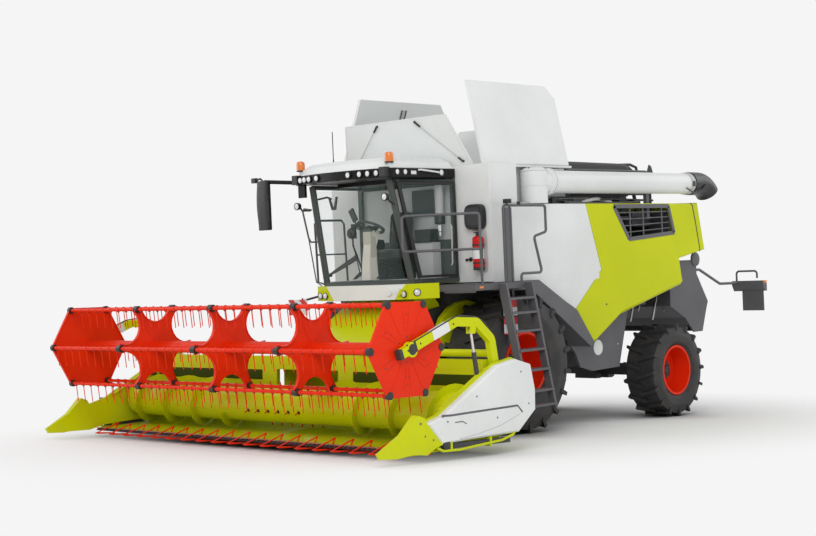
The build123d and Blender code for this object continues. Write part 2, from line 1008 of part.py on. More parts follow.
with BuildPart() as cab_shell:
    with BuildSketch(plan_of(machine, cab_floor)) as floor:
        with BuildLine():
            bowed(front_low[0] + 40, front_low[1] - 20, bow_low - 20)
            Polyline(
                (front_low[0] + 40, front_low[1] - 20),
                (back_low[0] + 30, cab_back),
                (-back_low[0] - 30, cab_back),
                (-front_low[0] - 40, front_low[1] - 20),
            )
        make_face()
    extrude(floor.sketch, amount=cab_sill - cab_floor)
    for side in (1, -1):
        rod(
            machine,
            (side * front_low[0], front_low[1], cab_sill - 5),
            (side * front_high[0], front_high[1], cab_head + 5),
            pillar,
        )
        low, high = sorted((side * (back_low[0] - 50), side * (back_low[0] + 20)))
        block(
            machine,
            (low, high),
            (back_low[1], cab_back),
            (cab_sill - 5, roof_low - seat_gap),
        )
        rod(
            machine,
            (side * front_high[0], front_high[1], cab_head - 10),
            (side * (back_low[0] - 20), cab_back - 30, cab_head - 10),
            30,
        )
    block(
        machine,
        (-back_low[0] + 40, back_low[0] - 40),
        (cab_back - 30, cab_back),
        (cab_sill - 5, 2650),
    )
    block(
        machine,
        (-back_low[0] + 40, back_low[0] - 40),
        (cab_back - 40, cab_back),
        (cab_head - 60, cab_head + 5),
    )
    # brackets and pins of the door's hinge
    foot_x, foot_y = hinge_foot
    head_x, head_y = hinge_head
    block(machine, (foot_x - 70, foot_x + 20), (foot_y - 30, foot_y + 30), (cab_floor, cab_sill))
    block(
        machine,
        (head_x - 75, head_x + 14),
        (head_y - 30, head_y + 30),
        (door_high_z + 12, cab_head + 5),
    )
    for low, high in (
        (cab_sill - 5, door_low_z + pin_deep),
        (door_high_z - pin_deep, door_high_z + 20),
    ):
        rod(machine, *door_line(low, high), hinge_pin)
    # beams from the hull's front that carry the cab
    for side in (1, -1):
        low, high = sorted((side * 380, side * 470))
        block(machine, (low, high), (-1150, hull_front - seat_gap), (1950, cab_floor + 1))
    # steering column and wheel
    slab(
        machine,
        -70,
        70,
        ((-1290, cab_sill - 1), (-1160, cab_sill - 1), (-1180, 2800), (-1280, 2840)),
    )
    with Locations(spot(machine, 0, -1200, 2860, (-25, 0, 0))):
        Cylinder(200, 24)
        Cylinder(160, 30, mode=Mode.SUBTRACT)
        Box(380, 40, 18)
        Cylinder(45, 24)
    with Locations(spot(machine, 0, -1212, 2830, (-25, 0, 0))):
        Cylinder(25, 60)
cab_shell.part.label = "cab_shell"
export_step(cab_shell.part, "parts/cab_shell.step")

sill_gap = seat_gap
with BuildPart() as cab_glass:
    sections = []
    for level, half, corner_y, bow_y in (
        (cab_sill + sill_gap, front_low[0] - 60, front_low[1] - 60, bow_low),
        (cab_head - 55, front_high[0] - 60, front_high[1] - 40, bow_high),
    ):
        with BuildSketch(plan_of(machine, level)) as pane:
            with BuildLine():
                outer = bowed(half, corner_y, bow_y)
                inner = bowed(half, corner_y, bow_y, glass_thick)
                Line(outer @ 0, inner @ 0)
                Line(outer @ 1, inner @ 1)
            make_face()
        sections.append(pane.sketch.faces()[0])
    loft(sections=sections)
    # far side window and rear window
    far_low = (
        (-front_low[0] - 10, front_low[1] + 66),
        (-front_low[0] - 10 + glass_thick, front_low[1] + 66),
        (-back_low[0] + glass_thick, back_low[1] - 10),
        (-back_low[0], back_low[1] - 10),
    )
    far_high = (
        (-front_high[0] - 20, front_high[1] + 66),
        (-front_high[0] - 20 + glass_thick, front_high[1] + 66),
        (-back_low[0] + glass_thick, back_low[1] - 10),
        (-back_low[0], back_low[1] - 10),
    )
    panes = []
    for level, corners in ((cab_sill + sill_gap, far_low), (cab_head - 55, far_high)):
        panes.append(outline(plan_of(machine, level), corners).faces()[0])
    loft(sections=panes)
    block(
        machine,
        (-back_low[0] + 60, back_low[0] - 60),
        (cab_back - 25, cab_back - 25 + glass_thick),
        (2650 + seat_gap, cab_head - 60 - seat_gap),
    )
cab_glass.part.label = "cab_glass"
export_step(cab_glass.part, "parts/cab_glass.step")

# near side door, hinged at its front edge
with BuildPart() as cab_door:
    panes = []
    for level, (x, y) in ((door_low_z, front_low), (door_high_z, front_high)):
        corners = (
            (x + door_in, y + door_ahead),
            (x + door_in + door_out, y + door_ahead),
            (back_low[0] + 24 + door_out, cab_back - 45),
            (back_low[0] + 24, cab_back - 45),
        )
        panes.append(outline(plan_of(machine, level), corners).faces()[0])
    loft(sections=panes)
    slab(
        machine,
        600,
        1100,
        (
            (front_low[1] + door_ahead + door_bar + 25, door_low_z + door_bar),
            (cab_back - 45 - door_bar, door_low_z + door_bar),
            (cab_back - 45 - door_bar, door_high_z - door_bar),
            (front_high[1] + door_ahead + door_bar + 25, door_high_z - door_bar),
        ),
        mode=Mode.SUBTRACT,
    )
    for low, high in ((-20, pin_deep + 5), (-pin_deep - 5, 20)):
        start = door_low_z if low == -20 else door_high_z
        rod(machine, *door_line(start + low, start + high), hinge_pin + fit_gap, mode=Mode.SUBTRACT)
cab_door.part.label = "cab_door"
export_step(cab_door.part, "parts/cab_door.step")

with BuildPart() as cab_door_glass:
    panes = []
    for level, front_x, front_y in (
        (door_low_z + door_bar + seat_gap, front_low[0] + door_in, front_low[1]),
        (door_high_z - door_bar - seat_gap, front_high[0] + door_in, front_high[1]),
    ):
        inset = front_y + door_ahead + door_bar + 32
        share = (inset - front_y - door_ahead) / (cab_back - 45 - front_y - door_ahead)
        near_x = front_x + (back_low[0] + 24 - front_x) * share + 9
        corners = (
            (near_x, inset),
            (near_x + glass_thick, inset),
            (back_low[0] + 32 + glass_thick, cab_back - 46 - door_bar),
            (back_low[0] + 32, cab_back - 46 - door_bar),
        )
        panes.append(outline(plan_of(machine, level), corners).faces()[0])
    loft(sections=panes)
cab_door_glass.part.label = "cab_door_glass"
export_step(cab_door_glass.part, "parts/cab_door_glass.step")



def bow_at(x, half, corner_y, bow_y):
    """How far forward the bowed front is at a distance from the middle."""
    sag = corner_y - bow_y
    radius = (half**2 + sag**2) / (2 * sag)
    return bow_y + radius - (radius**2 - x**2) ** 0.5


roof_half = 920
roof_corner = -1690
roof_bow = -1890
visor_high = 120
cap_wall = 90
cap_crown = 60
lamp_radius = 44
lamp_out = 24
with BuildPart() as cab_roof:
    for low, inset, high, taper in (
        (roof_low, 0, visor_high, 0),
        (roof_low + visor_high, 25, cap_wall, 25),
        (roof_low + visor_high + cap_wall, 72, cap_crown, 62),
    ):
        with BuildSketch(plan_of(machine, low)) as roof:
            with BuildLine():
                half = roof_half - inset
                bowed(half, roof_corner + inset, roof_bow + inset)
                Polyline(
                    (half, roof_corner + inset),
                    (half, cab_back - 10),
                    (-half, cab_back - 10),
                    (-half, roof_corner + inset),
                )
            make_face()
        extrude(roof.sketch, amount=high, taper=taper)
    # round lamps along the visor
    for at_x in (300, 480, 600, 720):
        at_y = bow_at(at_x, roof_half, roof_corner, roof_bow)
        level = roof_low + visor_high / 2
        for side in (1, -1):
            rod(
                machine,
                (side * at_x, at_y - lamp_out, level),
                (side * at_x, at_y + 2 * lamp_out, level),
                lamp_radius,
            )
    # box that hangs from the visor's far corner
    block(
        machine,
        (-roof_half + 20, -roof_half + 150),
        (roof_corner + 20, roof_corner + 60),
        (roof_low - 170, roof_low + 1),
    )
    block(machine, (-600, 600), (-1200, cab_back - 100), (cab_head - 20, roof_low + 1))
    # arm and housing of the far mirror, beacon posts and aerial
    rod(machine, (-roof_half + 30, roof_corner + 30, 3520), (-1480, -1760, 3570), 28)
    block(machine, (-1600, -1390), (-1800, -1740), (2900, 3580))
    for side in (1, -1):
        rod(machine, (side * 840, -1660, 3560), (side * 840, -1660, 3680), 22)
        rod(machine, (side * 840, -1660, 3680), (side * 840, -1660, 3790), 55)
    rod(machine, (-560, -1300, 3700), (-560, -1300, 4200), 6)
cab_roof.part.label = "cab_roof"
export_step(cab_roof.part, "parts/cab_roof.step")

apron_low = 1880
apron_half = 860
apron_corner = -1420
apron_bow = -1590
apron_back = -1105
apron_lamp = 50
with BuildPart() as cab_apron:
    with BuildSketch(plan_of(machine, apron_low)) as apron:
        with BuildLine():
            bowed(apron_half, apron_corner, apron_bow)
            Polyline(
                (apron_half, apron_corner),
                (1120, apron_back),
                (980, apron_back),
                (760, -1300),
                (-760, -1300),
                (-980, apron_back),
                (-1120, apron_back),
                (-apron_half, apron_corner),
            )
        make_face()
    extrude(apron.sketch, amount=cab_floor - seat_gap - apron_low)
    for at_x in (600, 740):
        at_y = bow_at(at_x, apron_half, apron_corner, apron_bow)
        level = (apron_low + cab_floor) / 2
        for side in (1, -1):
            rod(
                machine,
                (side * at_x, at_y - lamp_out, level),
                (side * at_x, at_y + 2 * lamp_out, level),
                apron_lamp,
            )
cab_apron.part.label = "cab_apron"
export_step(cab_apron.part, "parts/cab_apron.step")

seat_y = -840
with BuildPart() as seat:
    block(machine, (-170, 170), (seat_y - 150, seat_y + 150), (cab_sill + seat_gap, 2420))
    block(machine, (-260, 260), (seat_y - 260, seat_y + 230), (2420, 2540))
    slab(
        machine,
        -250,
        250,
        ((seat_y + 150, 2500), (seat_y + 250, 2500), (seat_y + 320, 3130), (seat_y + 230, 3130)),
    )
    block(machine, (-330, -262), (seat_y - 220, seat_y + 150), (2480, 2700))
    block(machine, (-262, -255), (seat_y - 100, seat_y + 100), (2460, 2530))
seat.part.label = "seat"
export_step(seat.part, "parts/seat.step")

# ---------------------------------------------------------------- platform and ladder
platform_low = 1960
platform_top = 2040
platform_out = 1740
platform_in = 960
rail = 18
with BuildPart() as platform:
    with BuildSketch(plan_of(machine, platform_low)) as deck:
        with BuildLine():
            Polyline(
                (platform_in, apron_back + seat_gap),
                (platform_out, apron_back + seat_gap),
                (platform_out, -30),
                (guard_out + 6, -30),
                (guard_out + 6, -268),
                (hull_half + 600, -268),
                (hull_half + 600, tank_front - wall - seat_gap),
                (platform_in, tank_front - wall - seat_gap),
                close=True,
            )
        make_face()
    extrude(deck.sketch, amount=platform_top - platform_low)
    pipe(
        machine,
        (
            (1715, -930, platform_top - 5),
            (1715, -940, 2960),
            (1715, -1110, 2960),
            (1010, -1650, 2960),
            (1010, -1650, 2500),
            (1715, -1110, 2500),
            (1715, -945, 2500),
        ),
        rail,
        45,
    )
    pipe(
        machine,
        (
            (1700, -430, platform_top - 5),
            (1700, -430, 3060),
            (1700, 470, 3060),
            (1700, 470, 2700),
            (1700, 200, 2640),
            (1700, 350, 2150),
            (1700, -100, 2150),
            (1700, -100, platform_top - 5),
        ),
        rail,
        45,
    )
    # rear-view mirror and fire extinguisher on the front wall
    block(machine, (1130, 1360), (tank_front - wall - 75, tank_front - wall - seat_gap), (2790, 3070))
    rod(machine, (1330, -530, 2230), (1330, -530, 2640), 75)
    rod(machine, (1330, -530, 2640), (1330, -530, 2720), 25)
    block(machine, (1300, 1360), (-500, tank_front - wall - seat_gap), (2300, 2560))
platform.part.label = "platform"
export_step(platform.part, "parts/platform.step")

step_rows = (1830, 1640, 1400, 1150, 890, 620, 430)
ladder_front = -600
ladder_back = -60


def ladder_x(level):
    """The ladder leans outward towards its foot."""
    return 1790 + (1960 - level) * 0.21


with BuildPart() as ladder:
    for at_y in (ladder_front, ladder_back):
        with BuildSketch(front_of(machine, at_y + 20)) as stile:
            with BuildLine():
                Polyline(
                    (platform_out + clearance, 2030),
                    (1850, 2030),
                    (ladder_x(380) + 45, 380),
                    (ladder_x(380) - 45, 380),
                    (platform_out + clearance, 1900),
                    close=True,
                )
            make_face()
        extrude(stile.sketch, amount=40)
    for level in step_rows:
        block(
            machine,
            (ladder_x(level) - 75, ladder_x(level) + 75),
            (ladder_front, ladder_back),
            (level - 15, level + 15),
        )
ladder.part.label = "ladder"
export_step(ladder.part, "parts/ladder.step")

# ---------------------------------------------------------------- feeder house
feeder_mouth = -2330
mouth_low = 220
mouth_high = 980
with BuildPart() as feeder_house:
    slab(
        ground,
        -feeder_half,
        feeder_half,
        (
            (hinge_y + 30, hinge_z + 325),
            (hinge_y - 120, hinge_z + 300),
            (feeder_mouth, mouth_high),
            (feeder_mouth, mouth_low),
            (hinge_y - 180, hinge_z - 270),
            (hinge_y + 30, hinge_z - 325),
        ),
    )
    rod(
        ground,
        (-feeder_half, hinge_y, hinge_z),
        (feeder_half, hinge_y, hinge_z),
        feeder_round,
    )
    rod(
        ground,
        (-feeder_half - 10, hinge_y, hinge_z),
        (feeder_half + 10, hinge_y, hinge_z),
        trunnion + fit_gap,
        mode=Mode.SUBTRACT,
    )
    block(
        ground,
        (-feeder_half + 40, feeder_half - 40),
        (feeder_mouth - 10, feeder_mouth + 420),
        (mouth_low + 60, mouth_high - 60),
        mode=Mode.SUBTRACT,
    )
    # lugs beside the lift rods' eyes
    for side in (1, -1):
        for at_x in (lift_x - 56, lift_x + 40 + clearance):
            low, high = sorted((side * at_x, side * (at_x + 15.7)))
            slab(
                ground,
                low,
                high,
                (
                    (eye_y - 60, eye_z - 40),
                    (eye_y + 60, eye_z - 40),
                    (eye_y + 60, eye_z + 110),
                    (eye_y - 60, eye_z + 180),
                ),
            )
feeder_house.part.label = "feeder_house"
export_step(feeder_house.part, "parts/feeder_house.step")

# ---------------------------------------------------------------- lift cylinders


def along(start, stop, share):
    """A point part of the way from start to stop."""
    return tuple(a + (b - a) * share for a, b in zip(start, stop))


lift_rod = 34
lift_barrel_end = 0.62  # share of the way from the pin to the rod's eye
lift_rod_start = 0.40
with BuildPart() as lift_barrels:
    start = (lift_x, barrel_y, barrel_z)
    stop = (lift_x, eye_y, eye_z)
    rod(ground, start, along(start, stop, lift_barrel_end), 55)
    rod(ground, (lift_x - 60, barrel_y, barrel_z), (lift_x + 60, barrel_y, barrel_z), 60)
    rod(
        ground,
        (lift_x - 61, barrel_y, barrel_z),
        (lift_x + 61, barrel_y, barrel_z),
        lift_pin + fit_gap,
        mode=Mode.SUBTRACT,
    )
    rod(
        ground,
        along(start, stop, lift_rod_start - 0.02),
        along(start, stop, lift_barrel_end + 0.01),
        lift_rod + clearance,
        mode=Mode.SUBTRACT,
    )
    both_sides()
lift_barrels.part.label = "lift_barrels"
export_step(lift_barrels.part, "parts/lift_barrels.step")

with BuildPart() as lift_rods:
    rod(ground, along(start, stop, lift_rod_start), along(start, stop, 0.98), lift_rod)
    rod(ground, (lift_x - 40, eye_y, eye_z), (lift_x + 40, eye_y, eye_z), 52)
    both_sides()
lift_rods.part.label = "lift_rods"
export_step(lift_rods.part, "parts/lift_rods.step")

# ---------------------------------------------------------------- header
sheet = 14
trough_radius = 362
table_front = -3500
table_back = -2490
beam_back = feeder_mouth  # the back beams bolt to the feeder house
back_high = 1000
beam_top = 1090
with BuildPart() as header_table:
    with BuildSketch(side_of(ground, -header_half)) as floor:
        with BuildLine():
            Line((table_front, 105), (intake_y, intake_z - trough_radius))
            ThreePointArc(
                (intake_y, intake_z - trough_radius),
                (
                    intake_y + trough_radius * sin(radians(45)),
                    intake_z - trough_radius * cos(radians(45)),
                ),
                (intake_y + trough_radius, intake_z),
            )
            Line((intake_y + trough_radius, intake_z), (table_back, back_high))
        trace(line_width=sheet)
    extrude(floor.sketch, amount=2 * header_half)
    # crop opening into the feeder house
    block(
        ground,
        (-feeder_half + 40, feeder_half - 40),
        (-2700, table_back + 60),
        (mouth_low + 60, mouth_high - 60),
        mode=Mode.SUBTRACT,
    )
    block(ground, (-header_half, header_half), (table_back - 10, beam_back), (150, 290))
    block(
        ground,
        (-arm_in + 15, arm_in - 15),
        (table_back - 10, beam_back),
        (back_high - 30, beam_top),
    )
    for at_x in (700, 1500, 2300, arm_in - 80):
        for side in (1, -1):
            left, right = sorted((side * at_x, side * (at_x + 60)))
            block(ground, (left, right), (table_back, beam_back), (280, 980))
header_table.part.label = "header_table"
export_step(header_table.part, "parts/header_table.step")

end_side = (
    (nose_y, 150),
    (-4050, 330),
    (-3690, 450),
    (-3440, 520),
    (-2470, 1050),
    (-2140, 1110),
    (-1900, 1040),
    (-1820, 700),
    (-1820, 480),
    (-2100, 225),
    (-3050, 180),
    (-3440, 150),
    (-3700, 90),
    (nose_y + 40, 90),
)
cover_side = (
    (-3690, 430),
    (-3430, 500),
    (-2470, 1030),
    (-2140, 1090),
    (-1860, 1020),
    (-1780, 720),
    (-1780, 480),
    (-2090, 240),
    (-3050, 210),
    (-3440, 190),
)
nose_side = (
    (nose_y, 150),
    (-4050, 330),
    (-3830, 530),
    (-3740, 500),
    (-3694, 430),
    (-3445, 190),
    (-3560, 160),
    (-3700, 90),
    (-3900, 110),
    (-4120, 80),
    (nose_y + 40, 90),
)
nose_thick = end_thick + cover_thick
nose_tip = 26  # thickness of the divider at its tip
nose_full = -3740  # the divider has its whole thickness from here back
with BuildPart() as header_ends:
    slab(ground, header_half, header_half + nose_thick, nose_side)
    # the divider narrows towards its tip
    extrude(
        outline(
            plan_of(ground),
            (
                (header_half + nose_tip, nose_y),
                (header_half + nose_thick, nose_full),
                (header_half + nose_thick + 1, nose_full),
                (header_half + nose_thick + 1, nose_y - 1),
                (header_half + nose_tip, nose_y - 1),
            ),
        ),
        amount=back_high,
        mode=Mode.SUBTRACT,
    )
    slab(ground, header_half, header_half + end_thick, end_side)
    both_sides()
header_ends.part.label = "header_ends"
export_step(header_ends.part, "parts/header_ends.step")

cover_in = header_half + end_thick + seat_gap
cover_edge = 22
with BuildPart() as header_covers:
    slab(ground, cover_in, cover_in + cover_thick, cover_side)
    chamfer(header_covers.faces().sort_by(Axis.X)[-1].edges(), cover_edge)
    both_sides()
header_covers.part.label = "header_covers"
export_step(header_covers.part, "parts/header_covers.step")

lifter_pitch = 304.8
lifters_per_side = int((header_half - 250) / lifter_pitch)
with BuildPart() as knife:
    block(
        ground,
        (-header_half + 20, header_half - 20),
        (table_front - 90, table_front - 3 * seat_gap),
        (78, 116),
    )
    for at in range(-lifters_per_side, lifters_per_side + 1):
        middle = at * lifter_pitch
        for half, points in (
            (7, ((-3470, 196), (-3464, 180), (-3830, 70), (-3855, 70))),
            (9, ((-3855, 70), (-3830, 82), (-3540, 62), (-3540, 48), (-3800, 56))),
            (7, ((-3560, 62), (-3540, 62), (-3540, 90), (-3560, 90))),
            (7, ((-3525, 112), (-3512, 112), (-3470, 185), (-3481, 189))),
        ):
            slab(ground, middle - half, middle + half, points)
knife.part.label = "knife"
export_step(knife.part, "parts/knife.step")

flight_thick = 8
with BuildPart() as intake_auger:
    rod(
        ground,
        (-header_half + 40, intake_y, intake_z),
        (header_half - 40, intake_y, intake_z),
        drum_radius,
    )
    rod(
        ground,
        (-header_half + 50, intake_y, intake_z),
        (header_half - 50, intake_y, intake_z),
        drum_radius - 10,
        mode=Mode.SUBTRACT,
    )
    for side in (1, -1):
        rod(
            ground,
            (side * (header_half - 41), intake_y, intake_z),
            (side * (header_half - clearance), intake_y, intake_z),
            60,
        )
        for at_x in (header_half - 60, header_half - 1800):
            rod(
                ground,
                (side * at_x, intake_y, intake_z),
                (side * (at_x - flight_thick), intake_y, intake_z),
                flight_radius,
            )
intake_auger.part.label = "intake_auger"
export_step(intake_auger.part, "parts/intake_auger.step")

# ---------------------------------------------------------------- reel arms and reel
arm_y = -2330
arm_z = 930
arm_deep = 105
reel_journal = 40
lane_x = (arm_in + arm_out) / 2
eye_half = 16
raise_start = (lane_x, -2640, 830)
raise_stop = (lane_x, -2760, 1420)
raise_rod = 15
raise_barrel_end = 0.6  # share of the way from pin to eye
raise_rod_start = 0.33
with BuildPart() as reel_arms:
    with BuildSketch(side_of(ground, arm_in)) as arm:
        with BuildLine():
            FilletPolyline(
                (arm_y, arm_z),
                (-2420, 1330),
                (-2680, 1530),
                (-3040, 1540),
                (-3960, 1190),
                radius=90,
            )
        trace(line_width=arm_deep)
        with Locations((arm_y, arm_z)):
            Circle(75)
        with Locations((reel_y, reel_z)):
            Circle(85)
    extrude(arm.sketch, amount=arm_out - arm_in)
    rod(
        ground,
        (arm_in - 10, reel_y, reel_z),
        (arm_out + 10, reel_y, reel_z),
        reel_journal + fit_gap,
        mode=Mode.SUBTRACT,
    )
    rod(ground, (arm_out - 10, arm_y, arm_z), (header_half - clearance, arm_y, arm_z), 45)
    for low, high in ((arm_in, lane_x - eye_half), (lane_x + eye_half, arm_out)):
        slab(
            ground,
            low + (clearance if low > arm_in else 0),
            high - (clearance if low == arm_in else 0),
            ((-2800, 1500), (-2800, 1400), (-2720, 1400), (-2700, 1500)),
        )
    both_sides()
    # cross tube that ties both arms behind the header's back beam
    rod(ground, (-arm_in - 5, arm_y, arm_z + 230), (arm_in + 5, arm_y, arm_z + 230), 45)
reel_arms.part.label = "reel_arms"
export_step(reel_arms.part, "parts/reel_arms.step")

with BuildPart() as reel_barrels:
    rod(ground, raise_start, along(raise_start, raise_stop, raise_barrel_end), 28)
    rod(
        ground,
        along(raise_start, raise_stop, raise_rod_start - 0.06),
        along(raise_start, raise_stop, raise_barrel_end + 0.01),
        raise_rod + clearance,
        mode=Mode.SUBTRACT,
    )
    rod(ground, (arm_in, *raise_start[1:]), (header_half - clearance, *raise_start[1:]), 30)
    both_sides()
reel_barrels.part.label = "reel_barrels"
export_step(reel_barrels.part, "parts/reel_barrels.step")

with BuildPart() as reel_rods:
    rod(
        ground,
        along(raise_start, raise_stop, raise_rod_start),
        along(raise_start, raise_stop, 0.97),
        raise_rod,
    )
    rod(
        ground,
        (lane_x - eye_half, *raise_stop[1:]),
        (lane_x + eye_half, *raise_stop[1:]),
        28,
    )
    both_sides()
reel_rods.part.label = "reel_rods"
export_step(reel_rods.part, "parts/reel_rods.step")

reel_turn = 1.25
plate_thick = 10
plate_radius = 605
hole_radius = bar_radius + fit_gap
bite_radius = 235
bite_at = 560
tube_radius_reel = 75
bar_spots = [
    (
        reel_y + reel_radius * cos(radians(60 * n + reel_turn)),
        reel_z + reel_radius * sin(radians(60 * n + reel_turn)),
    )
    for n in range(6)
]
with BuildPart() as reel:
    rod(ground, (-reel_half, reel_y, reel_z), (reel_half, reel_y, reel_z), tube_radius_reel)
    for low, bitten in (
        (-reel_half, False),
        (reel_half - plate_thick, False),
        *((x - plate_thick / 2, True) for x in spider_x),
    ):
        with BuildSketch(side_of(ground, low)) as plate:
            with Locations(Location((reel_y, reel_z, 0), (0, 0, reel_turn))):
                RegularPolygon(plate_radius, 6)
            if bitten:
                with Locations(Location((reel_y, reel_z, 0), (0, 0, reel_turn + 30))):
                    with PolarLocations(bite_at, 6):
                        Circle(bite_radius, mode=Mode.SUBTRACT)
            with Locations(*bar_spots):
                Circle(hole_radius, mode=Mode.SUBTRACT)
        extrude(plate.sketch, amount=plate_thick)
    for side in (1, -1):
        rod(
            ground,
            (side * (reel_half - 1), reel_y, reel_z),
            (side * (arm_out + 5), reel_y, reel_z),
            reel_journal,
        )
reel.part.label = "reel"
export_step(reel.part, "parts/reel.step")

tine_long = 230
tine_thick = 8
tine_rake = 8
for n, (bar_y, bar_z) in enumerate(bar_spots, start=1):
    with BuildPart() as tine_bar:
        rod(
            ground,
            (-reel_half - 4, bar_y, bar_z),
            (reel_half + 4, bar_y, bar_z),
            bar_radius,
        )
        first = -(tines_per_bar - 1) / 2 * tine_pitch
        places = [
            spot(ground, first + k * tine_pitch, bar_y, bar_z, (tine_rake, 0, 0))
            * Location((0, 0, -tine_long / 2 - bar_radius / 2))
            for k in range(tines_per_bar)
        ]
        with Locations(*places):
            Box(tine_thick, tine_thick, tine_long)
    tine_bar.part.label = f"tine_bar_{n}"
    export_step(tine_bar.part, f"parts/tine_bar_{n}.step")
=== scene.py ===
"""Looks of a combine harvester: finishes, lamps, cab interior, pipes and other dressing."""

import json
from math import cos, pi, radians, sin

import bmesh
import bpy
from mathutils import Matrix, Vector


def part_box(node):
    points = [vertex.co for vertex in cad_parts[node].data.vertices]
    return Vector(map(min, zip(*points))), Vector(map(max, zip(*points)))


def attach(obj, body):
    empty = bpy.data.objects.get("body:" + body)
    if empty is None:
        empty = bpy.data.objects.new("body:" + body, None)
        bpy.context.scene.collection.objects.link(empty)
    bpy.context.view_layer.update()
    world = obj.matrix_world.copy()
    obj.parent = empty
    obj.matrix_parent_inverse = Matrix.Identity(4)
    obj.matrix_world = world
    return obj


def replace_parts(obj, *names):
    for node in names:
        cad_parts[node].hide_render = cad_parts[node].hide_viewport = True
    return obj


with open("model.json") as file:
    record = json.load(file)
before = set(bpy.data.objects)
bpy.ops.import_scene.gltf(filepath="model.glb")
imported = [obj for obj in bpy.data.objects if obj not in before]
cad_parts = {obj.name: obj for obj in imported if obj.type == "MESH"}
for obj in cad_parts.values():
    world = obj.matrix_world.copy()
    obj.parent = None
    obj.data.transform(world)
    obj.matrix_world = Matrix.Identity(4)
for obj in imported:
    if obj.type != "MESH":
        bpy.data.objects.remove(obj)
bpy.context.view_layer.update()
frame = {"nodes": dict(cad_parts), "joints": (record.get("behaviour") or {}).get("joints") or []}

joints = {joint["name"]: joint for joint in frame["joints"]}
nodes = frame["nodes"]

# ---------------------------------------------------------------- the raked frame
axle = Vector(joints["front_wheel_left_roll"]["pos_m"])
BACK = -Vector(joints["side_door_left_lift"]["axis"]).normalized()
UP = Vector((0, -BACK.z, BACK.y))
LEFT = Vector((1, 0, 0))
RAKE = Matrix((LEFT, BACK, UP)).transposed().to_4x4()


def at(x, y, z):
    """A point of the raked bodywork: metres left, behind the front axle and above ground."""
    return Vector((x, axle.y, axle.z)) + BACK * y + UP * (z - axle.z)


def on_ground(x, y, z):
    """A point of the header or wheels: metres left, behind the front axle, above ground."""
    return Vector((x, axle.y + y, z))


def as_given(x, y, z):
    """A point already in the row frame."""
    return Vector((x, y, z))


def across(place):
    """The same place on the machine's other side."""
    return lambda x, y, z: place(-x, y, z)


def sides(place):
    """Name, direction to the left and place, for the machine's left and then its right."""
    return (("left", 1, place), ("right", -1, across(place)))


# ---------------------------------------------------------------- materials
LIME = (0.6, 0.66, 0.002)
WHITE = (0.78, 0.8, 0.79)
RED = (0.8, 0.028, 0.003)
SCARLET = (0.62, 0.012, 0.01)
LAMP_RED = (0.62, 0.01, 0.01)
GREY = (0.098, 0.098, 0.108)
PALE = (0.5, 0.51, 0.51)
BLACK = (0.012, 0.012, 0.013)
AMBER = (0.8, 0.19, 0.005)
DUST = (0.3, 0.25, 0.18)


def add_node(tree, kind, inputs, **fields):
    """A shader node with its fields set, and each input linked or given its value."""
    node = tree.nodes.new("ShaderNode" + kind)
    for name, value in fields.items():
        setattr(node, name, value)
    for name, value in inputs.items():
        feed(tree, value, node.inputs[name])
    return node


def feed(tree, value, socket):
    """Links a node's output to the socket, or sets the socket's own value."""
    if isinstance(value, bpy.types.NodeSocket):
        tree.links.new(value, socket)
    elif socket.type == "RGBA":
        socket.default_value = (*value, 1)
    else:
        socket.default_value = value


class Shader:
    """Node tree of one material, with short calls for the nodes used here."""

    def __init__(self, name):
        self.mat = bpy.data.materials.new(name)
        self.mat.use_nodes = True
        self.tree = self.mat.node_tree
        self.bsdf = self.tree.nodes["Principled BSDF"]
        self.place = self.tree.nodes.new("ShaderNodeTexCoord").outputs["Object"]

    def noise(self, scale, detail=3.0, rough=0.5, stretch=None):
        place = self.place
        if stretch:
            place = add_node(self.tree, "Mapping", {"Vector": place, "Scale": stretch}).outputs[0]
        inputs = {"Vector": place, "Scale": scale, "Detail": detail, "Roughness": rough}
        return add_node(self.tree, "TexNoise", inputs).outputs["Fac"]

    def math(self, kind, a, b=0.0):
        return add_node(self.tree, "Math", {0: a, 1: b}, operation=kind).outputs[0]

    def span(self, value, low, high, out_low=0.0, out_high=1.0):
        """Maps low..high onto out_low..out_high."""
        ends = {"From Min": low, "From Max": high, "To Min": out_low, "To Max": out_high}
        return add_node(self.tree, "MapRange", {"Value": value, **ends}).outputs["Result"]

    def mix(self, share, a, b):
        inputs = {"Factor": share, "A": a, "B": b}
        return add_node(self.tree, "Mix", inputs, data_type="RGBA").outputs["Result"]

    def along(self, direction, origin=(0, 0, 0)):
        """How far the surface lies from the origin along the direction."""
        inputs = {0: self.place, 1: tuple(origin)}
        shift = add_node(self.tree, "VectorMath", inputs, operation="SUBTRACT")
        inputs = {0: shift.outputs[0], 1: tuple(direction)}
        return add_node(self.tree, "VectorMath", inputs, operation="DOT_PRODUCT").outputs["Value"]

    def within(self, planes):
        """1 past every (direction, origin) plane, 0 elsewhere."""
        share = 1.0
        for direction, origin in planes:
            past = self.math("GREATER_THAN", self.along(direction, origin), 0.0)
            share = self.math("MULTIPLY", share, past)
        return share

    def bump(self, height, strength, distance):
        inputs = {"Strength": strength, "Distance": distance, "Height": height}
        self.set(Normal=add_node(self.tree, "Bump", inputs).outputs[0])

    def colour(self, value):
        self.set(Base_Color=value)

    def rough(self, value, low, high, out_low, out_high):
        """Roughness that varies with the value."""
        self.set(Roughness=self.span(value, low, high, out_low, out_high))

    def set(self, **values):
        for name, value in values.items():
            feed(self.tree, value, self.bsdf.inputs[name.replace("_", " ")])


def shade(colour, factor):
    """The colour darkened or lightened."""
    return tuple(min(1.0, channel * factor) for channel in colour)


